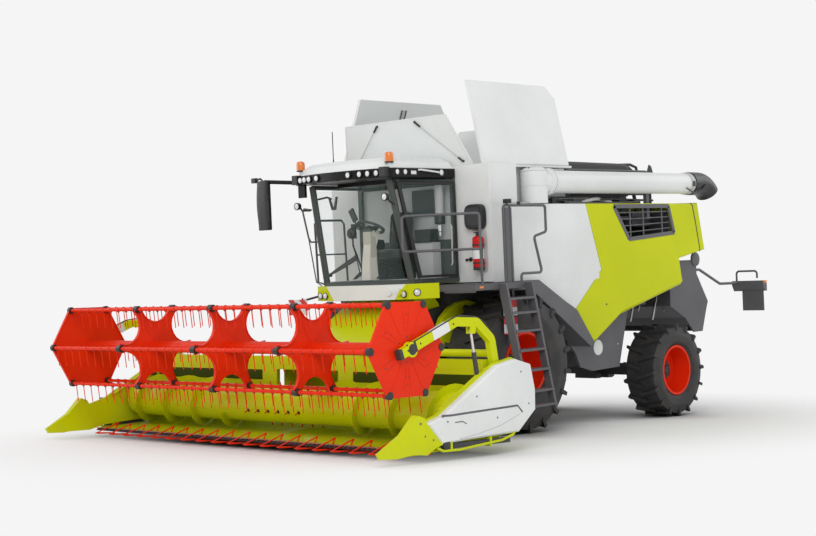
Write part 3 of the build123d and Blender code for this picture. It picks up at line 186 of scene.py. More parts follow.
def dusted(shader, colour, dust):
    """Fine road dust that thickens towards the ground."""
    if dust <= 0:
        return colour
    low = shader.span(shader.along((0, 0, 1)), 0.1, 1.9, 1.0, 0.0)
    patch = shader.span(shader.noise(2.2, 6.0, 0.65), 0.42, 0.68)
    share = shader.math("MULTIPLY", shader.math("MULTIPLY", low, patch), dust)
    return shader.mix(share, colour, DUST)


def paint(name, colour, rough=0.3, coat=0.08, dust=0.1, zones=()):
    """Sprayed enamel. Zones are (other colour, [(direction, origin), ...]) half spaces."""
    shader = Shader(name)
    mottle = shader.span(shader.noise(0.9, 4.0), 0.35, 0.65)
    base = shader.mix(mottle, shade(colour, 0.94), shade(colour, 1.03))
    for other, planes in zones:
        toned = shader.mix(mottle, shade(other, 0.94), shade(other, 1.03))
        base = shader.mix(shader.within(planes), base, toned)
    shader.colour(dusted(shader, base, dust))
    shader.rough(shader.noise(35, 4.0), 0.3, 0.7, rough - 0.05, rough + 0.07)
    shader.set(Coat_Weight=coat, Coat_Roughness=0.12, Specular_IOR_Level=0.1)
    shader.bump(shader.noise(220, 2.0), 0.02, 0.0004)
    return shader.mat


def plastic(name, colour, rough=0.55, grain=180, strength=0.15, dust=0.08, zones=()):
    """Moulded plastic or textured powder coat, with zones as for paint."""
    shader = Shader(name)
    mottle = shader.span(shader.noise(1.6, 5.0), 0.3, 0.7)
    base = shader.mix(mottle, shade(colour, 0.88), shade(colour, 1.12))
    for other, planes in zones:
        base = shader.mix(shader.within(planes), base, other)
    shader.colour(dusted(shader, base, dust))
    shader.rough(shader.noise(50, 3.0), 0.3, 0.7, rough - 0.08, rough + 0.08)
    shader.bump(shader.noise(grain, 2.0), strength, 0.0008)
    return shader.mat


def rubber(name, colour, dust=0.35):
    """Tyre rubber with a dusting in the grain."""
    shader = Shader(name)
    patch = shader.span(shader.noise(3.0, 6.0, 0.6), 0.45, 0.75, 0.0, dust)
    fine = shader.noise(140, 4.0, 0.6)
    grained = shader.mix(fine, shade(colour, 0.75), shade(colour, 1.3))
    shader.colour(shader.mix(patch, grained, shade(DUST, 0.35)))
    shader.rough(fine, 0.3, 0.7, 0.55, 0.78)
    shader.bump(fine, 0.25, 0.001)
    return shader.mat


def metal(name, colour, rough=0.3, scratch=(1, 1, 1)):
    """Bare metal with fine scratches along one way."""
    shader = Shader(name)
    lines = shader.noise(60, 3.0, 0.5, scratch)
    shader.colour(shader.mix(lines, shade(colour, 0.85), shade(colour, 1.1)))
    shader.set(Metallic=1.0)
    shader.rough(lines, 0.3, 0.7, rough - 0.08, rough + 0.12)
    shader.bump(lines, 0.06, 0.0005)
    return shader.mat


def pane(name, tint, rough=0.03, through=0.965):
    """Thin window glass: mostly clear, with faint streaks of dust."""
    shader = Shader(name)
    streak = shader.noise(1.2, 5.0, 0.6, (1, 1, 0.4))
    shader.colour(shader.mix(streak, tint, shade(tint, 0.85)))
    shader.rough(streak, 0.4, 0.8, rough, rough + 0.06)
    shader.set(Alpha=shader.span(streak, 0.3, 0.8, 1 - through, 1.03 - through))
    shader.mat.surface_render_method = "BLENDED"
    return shader.mat


def lens(name, colour):
    """Lamp lens with moulded ribs behind a clear face."""
    shader = Shader(name)
    ribs = shader.noise(120, 1.0, 0.4, (1, 1, 3))
    shader.colour(shader.mix(ribs, shade(colour, 0.7), shade(colour, 1.2)))
    shader.set(Roughness=0.12, Coat_Weight=0.8, Coat_Roughness=0.05)
    shader.bump(ribs, 0.4, 0.001)
    return shader.mat


def woven(name, colour, scale=420):
    """Seat cloth: a fine square weave with a soft sheen."""
    shader = Shader(name)
    inputs = {"Vector": shader.place, "Scale": scale, "Distortion": 1.5}
    wave = add_node(shader.tree, "TexWave", inputs)
    threads = shader.math("MULTIPLY", wave.outputs["Fac"], shader.noise(scale, 2.0))
    shader.colour(shader.mix(threads, shade(colour, 0.7), shade(colour, 1.6)))
    shader.set(Roughness=0.9, Sheen_Weight=0.4)
    shader.bump(threads, 0.5, 0.0008)
    return shader.mat


def striped(name, a, b, direction, pitch):
    """Board with slanting stripes in two colours."""
    shader = Shader(name)
    turns = shader.math("DIVIDE", shader.along(direction), pitch)
    part = shader.math("FRACT", shader.math("ADD", turns, 400.0))
    shader.colour(shader.mix(shader.math("GREATER_THAN", part, 0.5), a, b))
    shader.rough(shader.noise(90, 3.0), 0.3, 0.7, 0.25, 0.4)
    return shader.mat


def window_planes(corners):
    """Half spaces that bound a convex side-view outline of the bodywork."""
    planes = []
    middle = sum((Vector((0, y, z)) for y, z in corners), Vector()) / len(corners)
    for (y, z), (far_y, far_z) in zip(corners, corners[1:] + corners[:1]):
        normal = Vector((0, z - far_z, far_y - y))
        if normal.dot(middle - Vector((0, y, z))) < 0:
            normal = -normal
        planes.append((BACK * normal.y + UP * normal.z, at(0, y, z)))
    return planes


def above(z):
    """The half space above a height."""
    return (UP, at(0, 0, z))


def below(z):
    """The half space below a height."""
    return (-UP, at(0, 0, z))


def between(low_x, high_x):
    """Half spaces between two distances to the left."""
    return [(LEFT, at(low_x, 0, 0)), (-LEFT, at(high_x, 0, 0))]


WINDOW = [(2.36, 3.05), (3.8, 3.05), (3.93, 2.64), (2.72, 2.56)]
REAR_LAMPS = [(BACK, at(0, 6.19, 0)), above(1.683), below(1.767)]
CORNER_LAMPS = [(BACK, at(0, 6.13, 0)), above(1.77)]
VISOR_ZONES = [
    (BLACK, [below(3.598)]),
    (BLACK, [(-LEFT, at(-0.9, 0, 3.5))]),
    (BLACK, [above(3.752)]),
]
APRON_ZONES = [
    (LIME, [(LEFT - UP * 0.79, at(0.67, -1.45, 1.885))]),
    (LIME, [(-LEFT - UP * 0.9, at(-0.5, -1.5, 1.98))]),
]
CONSOLE_ZONE = [
    *between(-0.09, 0.09),
    (BACK, at(0, -1.32, 0)),
    (-BACK, at(0, -1.14, 0)),
    above(2.135),
    below(2.8),
]
LAMP_ZONES = [
    (LAMP_RED, REAR_LAMPS + between(1.205, 1.405)),
    (LAMP_RED, REAR_LAMPS + between(-1.405, -1.205)),
    (AMBER, REAR_LAMPS + between(1.625, 1.715)),
    (AMBER, REAR_LAMPS + between(-1.715, -1.625)),
    (AMBER, [*CORNER_LAMPS, (LEFT, at(1.7, 0, 0))]),
    (AMBER, [*CORNER_LAMPS, (-LEFT, at(-1.7, 0, 0))]),
]

lime = paint("lime enamel", LIME)
door_lime = paint("lime door", LIME, zones=[(GREY, window_planes(WINDOW))])
roof_white = paint("white roof over a black visor", WHITE, dust=0.0, zones=VISOR_ZONES)
apron_white = paint("white apron with lime corners", WHITE, dust=0.0, zones=APRON_ZONES)
cab_grey = paint(
    "cab frame",
    (0.075, 0.088, 0.082),
    rough=0.42,
    coat=0.2,
    dust=0.0,
    zones=[((0.56, 0.54, 0.46), CONSOLE_ZONE)],
)
white = paint("white enamel", WHITE, rough=0.28)
# Dark olive for a sheet on the header's back wall: painted shadow below the top tube, not a paint
# colour of the wall
back_wall_shadow = paint("painted shadow on the header back wall", (0.045, 0.065, 0.003), rough=0.6, coat=0.0, dust=0.0)
red = paint("red enamel", RED, rough=0.34, dust=0.05)
scarlet = paint("scarlet enamel", SCARLET, dust=0.0)
chopper_grey = plastic("grey chopper housing", GREY, zones=LAMP_ZONES)
grey = plastic("dark grey textured coat", GREY)
pale = plastic("pale grey coat", PALE, dust=0.03)
black = plastic("black moulded plastic", BLACK, rough=0.42)
iron = plastic("dark machinery", (0.035, 0.035, 0.038), rough=0.6, grain=60, strength=0.3)
beige = plastic("beige plastic", (0.74, 0.72, 0.64), rough=0.5)
tyre = rubber("tyre rubber", (0.022, 0.022, 0.024))
steel = metal("worn steel", (0.42, 0.42, 0.43), 0.34, (1, 12, 1))
chromed = metal("polished rod", (0.75, 0.75, 0.76), 0.14)
silver = metal("mirror glass", (0.62, 0.64, 0.66), 0.06)
glass = pane("green tinted glass", (0.3, 0.48, 0.44))
amber = lens("amber lens", AMBER)
clear = lens("clear lamp", (0.78, 0.8, 0.82))
cloth = woven("seat cloth", (0.02, 0.02, 0.023))
stripes = striped(
    "red and white boards", (0.62, 0.012, 0.02), (0.75, 0.75, 0.75), (0.7, 0, 0.7), 0.16
)


def dress(node, mat):
    """Gives a node of the frame its finish."""
    nodes[node].data.materials.clear()
    nodes[node].data.materials.append(mat)
    for face in nodes[node].data.polygons:
        face.material_index = 0


# ---------------------------------------------------------------- piece builder
def circle(centre, side, other, radius, count):
    """Points round a centre, from one direction towards another."""
    turns = [2 * pi * n / count for n in range(count)]
    return [centre + (side * cos(turn) + other * sin(turn)) * radius for turn in turns]


class Piece:
    """Collects shapes in one mesh, in the row frame, then makes the object."""

    def __init__(self, name, slot, mat, body="chassis"):
        self.name = name
        self.body = body
        self.slot = slot
        self.mats = [mat]
        self.mesh = bmesh.new()
        self.index = 0

    def use(self, mat):
        """What follows has this material; gives the piece back."""
        if mat not in self.mats:
            self.mats.append(mat)
        self.index = self.mats.index(mat)
        return self

    def solid(self, rings, closed=True):
        """Skin over rings of points, each ring with as many points as the others."""
        verts = [[self.mesh.verts.new(p) for p in ring] for ring in rings]
        new_face = self.mesh.faces.new
        faces = []
        for lower, upper in zip(verts, verts[1:]):
            for k in range(len(lower)):
                nxt = (k + 1) % len(lower)
                faces.append(new_face((lower[k], lower[nxt], upper[nxt], upper[k])))
        if closed:
            faces += [new_face(verts[0][::-1]), new_face(verts[-1])]
        for face in faces:
            face.material_index = self.index

    def box(self, x, y, z, place=at):
        """A block between (low, high) pairs in the given place's coordinates."""
        corners = ((0, 0), (1, 0), (1, 1), (0, 1))
        self.solid([[place(x[a], y[b], level) for a, b in corners] for level in z])

    def plate(self, points, x, place=at):
        """A sheet with a side-view outline of (rearward, up) points, from x low to x high."""
        self.solid([[place(level, y, z) for y, z in points] for level in x])

    def sheet(self, points, y, place=at):
        """A sheet with a front-view outline of (left, up) points, from y low to y high."""
        self.solid([[place(x, level, z) for x, z in points] for level in y])

    def tube(self, points, radius, count=10, place=at):
        """A round bar along points: vectors, or coordinates in the given place."""
        points = [p if isinstance(p, Vector) else place(*p) for p in points]
        rings = []
        side = None
        for k, p in enumerate(points):
            ahead = (points[min(k + 1, len(points) - 1)] - points[max(k - 1, 0)]).normalized()
            if side is None:
                side = ahead.orthogonal().normalized()
            else:
                side = (side - ahead * side.dot(ahead)).normalized()
            size = radius[k] if isinstance(radius, list) else radius
            rings.append(circle(p, side, ahead.cross(side), size, count))
        self.solid(rings)

    def turned(self, centre, axis, profile, count=24, closed=True):
        """A body of revolution: profile of (distance along the axis, radius)."""
        axis = axis.normalized()
        side = axis.orthogonal().normalized()
        other = axis.cross(side)
        rings = [
            circle(centre + axis * along, side, other, max(size, 1e-4), count)
            for along, size in profile
        ]
        self.solid(rings, closed)

    def band(self, points, half, x, place=at):
        """A strip along a side-view line of (rearward, up) points, from x low to x high."""
        rings = []
        for k, (y, z) in enumerate(points):
            before = Vector(points[max(k - 1, 0)])
            after = Vector(points[min(k + 1, len(points) - 1)])
            ahead = (after - before).normalized() * half
            a, b = (y - ahead.y, z + ahead.x), (y + ahead.y, z - ahead.x)
            rings.append([place(x[0], *a), place(x[1], *a), place(x[1], *b), place(x[0], *b)])
        self.solid(rings)

    def hoop(self, centre, axis, profile, count=72):
        """A ring: the closed profile of (distance along the axis, radius) turned round it."""
        self.turned(centre, axis, [*profile, profile[0]], count, closed=False)

    def collar(self, centre, axis, half, inner, outer, count=48):
        """A plain ring, so long either way along the axis, between two radii."""
        profile = [(-half, inner), (-half, outer), (half, outer), (half, inner)]
        self.hoop(centre, axis, profile, count)

    def bolt(self, centre, axis, size):
        """A bolt head on its washer."""
        washer = [(0, size * 1.5), (size * 0.25, size * 1.5)]
        self.turned(centre, axis, [*washer, (size * 0.3, size), (size, size * 0.95)], 6)

    def lamp(self, centre, axis, radius):
        """A round lamp: bezel, then the lens that bulges from it."""
        bezel = ((-0.01, 1.12), (0.004, 1.12), (0.008, 0.96), (0, 0.9))
        bulge = ((-0.004, 0.9), (0.004, 0.88), (0.009, 0.6), (0.011, 0.0))
        for mat, profile in ((black, bezel), (clear, bulge)):
            self.use(mat)
            self.turned(centre, axis, [(along, radius * share) for along, share in profile])

    def done(self, bevel=0.0, smooth=40, segments=2):
        """Makes the object, rounds its edges, and lets it ride on its body."""
        bmesh.ops.recalc_face_normals(self.mesh, faces=self.mesh.faces)
        data = bpy.data.meshes.new(self.name)
        self.mesh.to_mesh(data)
        self.mesh.free()
        for mat in self.mats:
            data.materials.append(mat)
        made = bpy.data.objects.new(self.name, data)
        bpy.context.scene.collection.objects.link(made)
        data.shade_smooth()
        if bevel:
            round_off = made.modifiers.new("edges", "BEVEL")
            round_off.width = bevel
            round_off.segments = segments
            round_off.limit_method = "ANGLE"
            round_off.angle_limit = radians(40)
        flat = made.modifiers.new("flat faces", "WEIGHTED_NORMAL")
        flat.keep_sharp = True
        data.set_sharp_from_angle(angle=radians(smooth))
        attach(made, self.body)
        return made


# ---------------------------------------------------------------- finishes of the frame
FINISHES = (
    (tyre, "tyre_front_left tyre_front_right tyre_rear_left tyre_rear_right"),
    (red, "rim_front_left rim_front_right rim_rear_left rim_rear_right knife reel"),
    (red, " ".join(f"tine_bar_{count}" for count in range(1, 7))),
    (iron, "hull bulkheads front_axle rear_axle knuckle_left knuckle_right engine"),
    (iron, "lift_barrels reel_barrels"),
    (white, "tank_front_wall grain_tank side_panels flap_left flap_right flap_front flap_rear"),
    (white, "unloading_auger header_covers"),
    (grey, "engine_deck guards platform ladder"),
    (lime, "rear_hood feeder_house header_table header_ends intake_auger reel_arms"),
    (chopper_grey, "chopper"),
    (cab_grey, "cab_shell"),
    (glass, "cab_glass cab_door_glass"),
    (roof_white, "cab_roof"),
    (apron_white, "cab_apron"),
    (cloth, "seat"),
    (black, "cab_door spout"),
    (door_lime, "door_left door_right"),
    (chromed, "lift_rods reel_rods"),
)
for mat, names in FINISHES:
    for node in names.split():
        dress(node, mat)

# ---------------------------------------------------------------- wheels
WHEELS = (
    # place, outward side, rim radius, tread under the lugs
    ("front_left", 1, 0.44, 0.878),
    ("front_right", -1, 0.44, 0.878),
    ("rear_left", 1, 0.38, 0.653),
    ("rear_right", -1, 0.38, 0.653),
)
HUB_CAP = [
    (-0.044, 0.154), (0.031, 0.124), (0.034, 0.118), (0.036, 0.065), (0.054, 0.058),
    (0.058, 0.02),
]
CASING = 0.012


def wheel_rise(turn):
    """A direction square to the wheels' axles."""
    return Vector((0, cos(turn), sin(turn)))


for name, side, rim_radius, tread in WHEELS:
    low, high = (Vector(corner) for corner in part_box(f"tyre_{name}"))
    hub = (low + high) / 2
    half = (high.x - low.x) / 2
    out = LEFT * side
    body = f"wheel_{name}"
    mid = (rim_radius + tread - 0.022) / 2
    wall = [
        (0.78 * half, rim_radius + 0.009),
        (0.86 * half, rim_radius + 0.03),
        (0.9 * half, rim_radius + 0.042),
        (0.915 * half, rim_radius + 0.046),
        (0.965 * half, mid - 0.07),
        (0.998 * half, mid - 0.02),
        (0.998 * half, mid + 0.03),
        (0.985 * half, mid + 0.036),
        (0.93 * half, tread - 0.05),
        (0.885 * half, tread + 0.0005),
        (0.55 * half, tread + 0.004),
    ]
    shell = [(-x, radius) for x, radius in wall] + wall[::-1]
    inner = [(x * 0.97, radius - CASING) for x, radius in reversed(shell)]
    casing = Piece(f"casing_{name}", "tyre", tyre, body)
    casing.hoop(hub, out, shell + inner)
    casing.done(smooth=35)
    cap = Piece(f"hub_{name}", "dark_paint", iron, body)
    cap.turned(hub, out, HUB_CAP, 36)
    for k in range(8):
        cap.bolt(hub + out * 0.035 + wheel_rise(pi * k / 4) * 0.092, out, 0.009)
    cap.use(steel)
    for k in range(10):
        cap.bolt(hub - out * 0.046 + wheel_rise(pi * k / 5) * 0.2, out, 0.014)
    cap.use(iron)
    foot, tip = Vector((0, 0, rim_radius - 0.06)), Vector((0, 0, rim_radius - 0.09))
    cap.tube([hub - out * 0.03 + foot, hub + out * 0.05 + tip], 0.006, 6)
    cap.done(smooth=35)

# ---------------------------------------------------------------- header
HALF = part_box("header_table")[1][0]
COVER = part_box("header_covers")[1][0]
FLUSH_DISC = [(-0.003, 0.013), (0.0005, 0.012)]
COVER_SEAM = [(-3.46, 0.505), (-3.3, 0.503), (-2.8, 0.523), (-2.13, 0.548), (-2.04, 0.465)]
COVER_NOTCH = [(-3.24, 0.42), (-3.11, 0.424), (-3.04, 0.392)]
# Line of a thin grey band along the cover's lower crease: painted shade of the crease
COVER_CREASE_SHADE = [(-3.16, 0.232), (-2.85, 0.265), (-2.45, 0.335), (-2.22, 0.405), (-2.08, 0.452)]
COVER_DISCS = ((-3.36, 0.435), (-2.86, 0.69), (-2.06, 0.94), (-1.92, 0.56), (-2.5, 0.43))
NOSE_DISCS = ((-3.8, 0.44), (-3.73, 0.3), (-3.6, 0.25))
COVER_BOSS = [(0, 0.055), (0.044, 0.055), (0.048, 0.03), (0.05, 0.0)]
SKID = (
    (-3.52, 0.155), (-3.42, 0.115), (-3.15, 0.11), (-2.4, 0.165), (-2.2, 0.215),
    (-2.12, 0.29),
)
for name, side, place in sides(on_ground):
    out = LEFT * side
    trim = Piece(f"cover_trim_{name}", "black_plastic", grey, "header")
    face = (COVER - 0.003, COVER + 0.0005)
    trim.band(COVER_SEAM, 0.012, face, place)
    trim.band(COVER_NOTCH, 0.006, face, place)
    for y, z in COVER_DISCS:
        trim.turned(place(COVER, y, z), out, FLUSH_DISC, 12)
    # Thin grey band along the lower crease: painted shade of the crease
    trim.use(pale).band(COVER_CREASE_SHADE, 0.004, face, place)
    trim.use(iron).turned(place(COVER - 0.05, -3.37, 0.185), out, COVER_BOSS)
    trim.box((HALF + 0.04, COVER - 0.02), (-3.4, -2.25), (0.13, 0.19), place)
    trim.use(lime).tube([(COVER - 0.02, y, z) for y, z in SKID], 0.015, place=place)
    for y in (-3.3, -2.62):
        trim.box((COVER - 0.1, COVER - 0.012), (y, y + 0.03), (0.11, 0.22), place)
    trim.use(grey)
    for y, z in NOSE_DISCS:
        trim.turned(place(COVER, y, z), out, FLUSH_DISC, 12)
    trim.done(smooth=30)

SQUARE = ((-1, -1), (1, -1), (1, 1), (-1, 1))
GUARD_PITCH = 0.0762
GUARD_HEIGHT = 0.096
GUARD_RINGS = ((-3.585, 0.016, 0.016), (-3.63, 0.01, 0.012), (-3.672, 0.003, 0.004))
knife_trim = Piece("knife_guards", "bright_steel", iron, "header")
for k in range(-39, 40):
    x = k * GUARD_PITCH
    knife_trim.solid(
        [
            [on_ground(x + dx * w, y, GUARD_HEIGHT + dz * h) for dx, dz in SQUARE]
            for y, w, h in GUARD_RINGS
        ]
    )
knife_trim.use(steel).box((-HALF + 0.03, HALF - 0.03), (-3.615, -3.56), (0.1162, 0.1195), on_ground)
knife_trim.done(smooth=30)

RIB_ENDS = (((-2.483, 0.54), (-2.5, 0.54)), ((-2.477, 0.97), (-2.495, 0.97)))
END_FLANGE = ((-3.34, 0.562), (-3.33, 0.554), (-2.63, 0.941), (-2.64, 0.949))
# Side-view outline of a thin dark sheet on the back wall: painted shadow below the top tube
SHADOW_BAND_OUTLINE = ((-2.5005, 0.78), (-2.507, 0.784), (-2.507, 0.905), (-2.5005, 0.912))
table_trim = Piece("table_ribs", "lime_paint", lime, "header")
for x in (-2.6, -1.95, -1.3, 1.3, 1.95, 2.6):
    table_trim.solid(
        [
            [on_ground(x - 0.03, *foot), on_ground(x + 0.03, *foot)]
            + [on_ground(x + 0.012, *crest), on_ground(x - 0.012, *crest)]
            for foot, crest in RIB_ENDS
        ]
    )
for _, _, place in sides(on_ground):
    table_trim.use(lime).plate(END_FLANGE, (3.032, HALF - 0.001), place)
    # Dark olive band on the back wall: painted shadow below the top tube
    table_trim.use(back_wall_shadow).plate(SHADOW_BAND_OUTLINE, (0.86, 3.07), place)
table_trim.use(iron).box((-1.5, 1.5), (-2.512, -2.49), (0.6, 0.66), on_ground)
table_trim.done(smooth=30)

# ---------------------------------------------------------------- reel
REEL = Vector(joints["reel_spin"]["pos_m"])
REEL_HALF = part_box("tine_bar_1")[1][0] - 0.004
BAR_RADIUS = 0.568
REEL_TURN = radians(1.25)
CORNERS = [pi / 3 * k + REEL_TURN for k in range(6)]


def round_reel(x, radius, angle):
    """A point of the reel: distance across, radius and angle about its axis."""
    return Vector((x, REEL.y + radius * cos(angle), REEL.z + radius * sin(angle)))


def reel_line(*polar):
    """A side-view line through (radius, angle) points about the reel's axis."""
    return [round_reel(0, radius, angle).yz for radius, angle in polar]


plates = (-REEL_HALF + 0.005, -REEL_HALF / 2, 0, REEL_HALF / 2, REEL_HALF - 0.005)
blocks = Piece("reel_bearings", "black_plastic", black, "reel_rotor")
for x in plates:
    low, high = -0.04, 0.04
    if abs(x) > REEL_HALF - 0.1:
        low, high = (low, 0.014) if x > 0 else (-0.014, high)
    for corner in CORNERS:
        profile = [(low, 0.03), (low, 0.046), (high, 0.046), (high, 0.03)]
        blocks.turned(round_reel(x, BAR_RADIUS, corner), LEFT, profile, 12)
blocks.done(0.003)

reel_trim = Piece("reel_plate_ribs", "red_paint", red, "reel_rotor")


def strip(line, half, x):
    """A strip along a side-view line of the reel."""
    reel_trim.band(line, half, x, as_given)


for x, out in ((-REEL_HALF, -1), (REEL_HALF, 1)):
    inner_face = sorted((x - out * 0.034, x - out * 0.01))
    face = sorted((x, x + out * 0.004))
    for corner in CORNERS:
        strip(reel_line((0.6015, corner), (0.6015, corner + pi / 3)), 0.0035, inner_face)
        strip(reel_line((0.17, corner), (0.34, corner), (0.5, corner)), 0.011, face)
        for step in (-0.11, 0.11):
            angle = corner + pi / 6 + step
            strip(reel_line((0.2, angle), (0.43, angle)), 0.005, face)
reel_trim.use(iron)
PLATE_BOLTS = ((0.3, 0.42, 0.011), (0.3, 0.62, 0.011), (0.14, 0.5, 0.01), (0.385, 0.52, 0.01))
for x, out in ((-REEL_HALF, -LEFT), (REEL_HALF, LEFT)):
    for corner in CORNERS:
        for radius, shift, size in PLATE_BOLTS:
            head = [(-0.002, size), (0.0015, size)]
            reel_trim.turned(round_reel(x, radius, corner + shift), out, head, 10)
reel_trim.use(red)
for x in plates[1:-1]:
    for corner in CORNERS:
        centre = round_reel(0, 0.56, corner + pi / 6)
        arc = []
        for k in range(11):
            angle = corner + pi / 6 + radians(100 + 16 * k)
            arc.append((centre.y + 0.2335 * cos(angle), centre.z + 0.2335 * sin(angle)))
        strip(arc, 0.002, (x - 0.022, x + 0.022))
        strip(reel_line((0.12, corner), (0.53, corner)), 0.012, (x - 0.01, x + 0.01))
    reel_trim.collar(Vector((x, REEL.y, REEL.z)), LEFT, 0.02, 0.074, 0.1, 24)
reel_trim.done(smooth=35)

TINE_PITCH = 0.165
tines = int(2 * (REEL_HALF - 0.09) / TINE_PITCH) + 1
for k, corner in enumerate(CORNERS, start=1):
    clips = Piece(f"tine_clips_{k}", "red_paint", red, f"tine_row_{k}")
    for n in range(tines):
        centre = round_reel((n - (tines - 1) / 2) * TINE_PITCH, BAR_RADIUS, corner)
        clips.use(red).collar(centre, LEFT, 0.016, 0.021, 0.029, 8)
        clips.use(iron)
        ends = [centre + Vector((x, 0.004, -0.028)) for x in (-0.012, 0.012)]
        clips.tube(ends, 0.009, 6)
    clips.done()

ARM_OUT = HALF - 0.013
ARM_IN = ARM_OUT - 0.072
ARM_RISE = Vector((0, 0.92, 0.35)).normalized()
ARM_PERP = Vector((0, -ARM_RISE.z, ARM_RISE.y))
ARM_PIVOT = (-3.96, 1.19)
ARM_SLOPE = 0.3804
ARM_HALF_DEPTH = 0.0525
ARM_HOSE = (
    (-3.86, 1.29), (-3.55, 1.405), (-3.1, 1.585), (-2.95, 1.605), (-2.7, 1.592),
    (-2.55, 1.53), (-2.4, 1.38),
)


def sleeve(piece, place, near, far, grow):
    """A sleeve round the reel arm between two points behind the axle."""
    rings = []
    for y in (near, far):
        z = ARM_PIVOT[1] + (y - ARM_PIVOT[0]) * ARM_SLOPE
        ring = []
        for x, turn in ((ARM_IN, -1), (ARM_OUT, -1), (ARM_OUT, 1), (ARM_IN, 1)):
            shift = ARM_PERP * (ARM_HALF_DEPTH + grow) * turn
            edge = grow if x == ARM_OUT else -grow
            ring.append(place(x + edge, y + shift.y, z + shift.z))
        rings.append(ring)
    piece.solid(rings)


for name, side, place in sides(on_ground):
    out = LEFT * side
    arm = Piece(f"arm_trim_{name}", "white_paint", white, "reel_carrier")
    sleeve(arm, place, -3.44, -3.17, 0.002)
    arm.use(iron)
    sleeve(arm, place, -3.745, -3.715, 0.006)
    sleeve(arm, place, -3.975, -3.93, 0.004)
    bearing = [(0, 0.062), (0.004, 0.062), (0.006, 0.03), (0.0115, 0.028)]
    arm.turned(place(ARM_OUT, REEL.y - axle.y, REEL.z), out, bearing, 20)
    arm.tube([(ARM_OUT - 0.012, y, z) for y, z in ARM_HOSE], 0.009, 8, place)
    for y, z in ((-3.85, 1.235), (-3.65, 1.31), (-3.1, 1.515), (-2.33, 0.93)):
        arm.bolt(place(ARM_OUT, y, z), out, 0.0085)
    arm.done(0.002)

# ---------------------------------------------------------------- intake auger
low, high = (Vector(corner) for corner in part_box("intake_auger"))
SCREW = (low + high) / 2
SCREW_END = high.x
DRUM = 0.24
DRUM_END = SCREW_END - 0.036
FLIGHT = (high.z - low.z) / 2 - 0.001
FLIGHT_PITCH = 0.6
FLIGHT_STEPS = 24
FLIGHT_SECTION = (
    (-0.004, DRUM - 0.004),
    (0.004, DRUM - 0.004),
    (0.003, FLIGHT),
    (-0.003, FLIGHT),
)


def round_screw(x, radius, angle):
    """A point of the intake auger: distance across, radius and angle about its axis."""
    return SCREW + Vector((x, radius * cos(angle), radius * sin(angle)))


screw = Piece("intake_screw", "lime_paint", lime, "crop_auger")
barrel = [(DRUM_END - 0.012, DRUM), (DRUM_END, DRUM - 0.014)]
screw.turned(SCREW, LEFT, [(-x, radius) for x, radius in barrel[::-1]] + barrel, 64)
for side in (1, -1):
    rings = []
    for k in range(83):
        x = side * (SCREW_END - 0.06 - FLIGHT_PITCH * k / FLIGHT_STEPS)
        angle = side * 2 * pi * k / FLIGHT_STEPS
        rings.append([round_screw(x + dx, radius, angle) for dx, radius in FLIGHT_SECTION])
    screw.solid(rings)
screw.use(iron).turned(SCREW, LEFT, [(-SCREW_END + 0.001, 0.058), (SCREW_END - 0.001, 0.058)])
for row in range(4):
    angle = pi / 2 * row + radians(20)
    for k in range(6):
        x = (k - 2.5) * 0.19 + (row % 2) * 0.095
        foot = round_screw(x, DRUM - 0.002, angle)
        out = (round_screw(x, DRUM + 1, angle) - foot).normalized()
        screw.use(black).turned(foot, out, [(0, 0.024), (0.008, 0.022), (0.01, 0.012)], 12)
        screw.use(scarlet).turned(foot, out, [(0, 0.008), (0.066, 0.008), (0.07, 0.005)], 8)
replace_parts(screw.done(), "intake_auger")

# ---------------------------------------------------------------- unloading tube
TUBE_X, TUBE_Z, TUBE_R = 1.43, 3.4, 0.16


def by_tube(x, y, z):
    """A point given from the unloading tube's line: left of it, behind the axle, above it."""
    return at(TUBE_X + x, y, TUBE_Z + z)


boom = Piece("tube_fittings", "white_paint", white, "unloader")
for y in (0.858, 0.905):
    boom.collar(by_tube(0, y, 0), BACK, 0.008, TUBE_R - 0.004, 0.192)
for z in (3.344, 3.552):
    boom.collar(at(TUBE_X, 0.595, z), UP, 0.006, 0.183, 0.193)
boom.use(iron)
for k in range(12):
    angle = 2 * pi * k / 12 + 0.2
    boom.bolt(by_tube(0.176 * cos(angle), 0.912, 0.176 * sin(angle)), BACK, 0.007)
boom.use(pale)
spout_ring = [(-0.05, TUBE_R - 0.004), (-0.05, 0.17), (0.05, 0.172), (0.05, TUBE_R - 0.004)]
boom.hoop(by_tube(0, 4.4, 0), BACK, spout_ring, 48)
boom.use(black)
SPOUT_HOSE = (
    (0.16, 4.2, -0.08), (0.17, 4.34, -0.14), (0.15, 4.48, -0.16), (0.175, 4.62, -0.1),
    (0.185, 4.7, -0.02),
)
boom.tube(SPOUT_HOSE, 0.011, place=by_tube)
boom.box((TUBE_X + 0.15, TUBE_X + 0.178), (4.36, 4.43), (TUBE_Z - 0.05, TUBE_Z + 0.03))
boom.use(steel)
ROD_X, HOSE_X = TUBE_X - 0.05, TUBE_X + 0.03
ROD = ((0.5, 3.585), (0.7, 3.592), (0.98, 3.575), (1.32, 3.572))
boom.tube([(ROD_X, y, z) for y, z in ROD], 0.009)
boom.tube([(HOSE_X, 0.48, 3.585), (HOSE_X, 0.72, 3.592), (HOSE_X, 0.95, 3.575)], 0.007)
boom.use(black).turned(at(ROD_X, 0.47, 3.578), BACK, [(0, 0.014), (0.06, 0.016), (0.07, 0.009)], 12)
boom.turned(at(HOSE_X, 0.45, 3.578), BACK, [(0, 0.012), (0.05, 0.014), (0.06, 0.009)], 12)
boom.done(0.002)

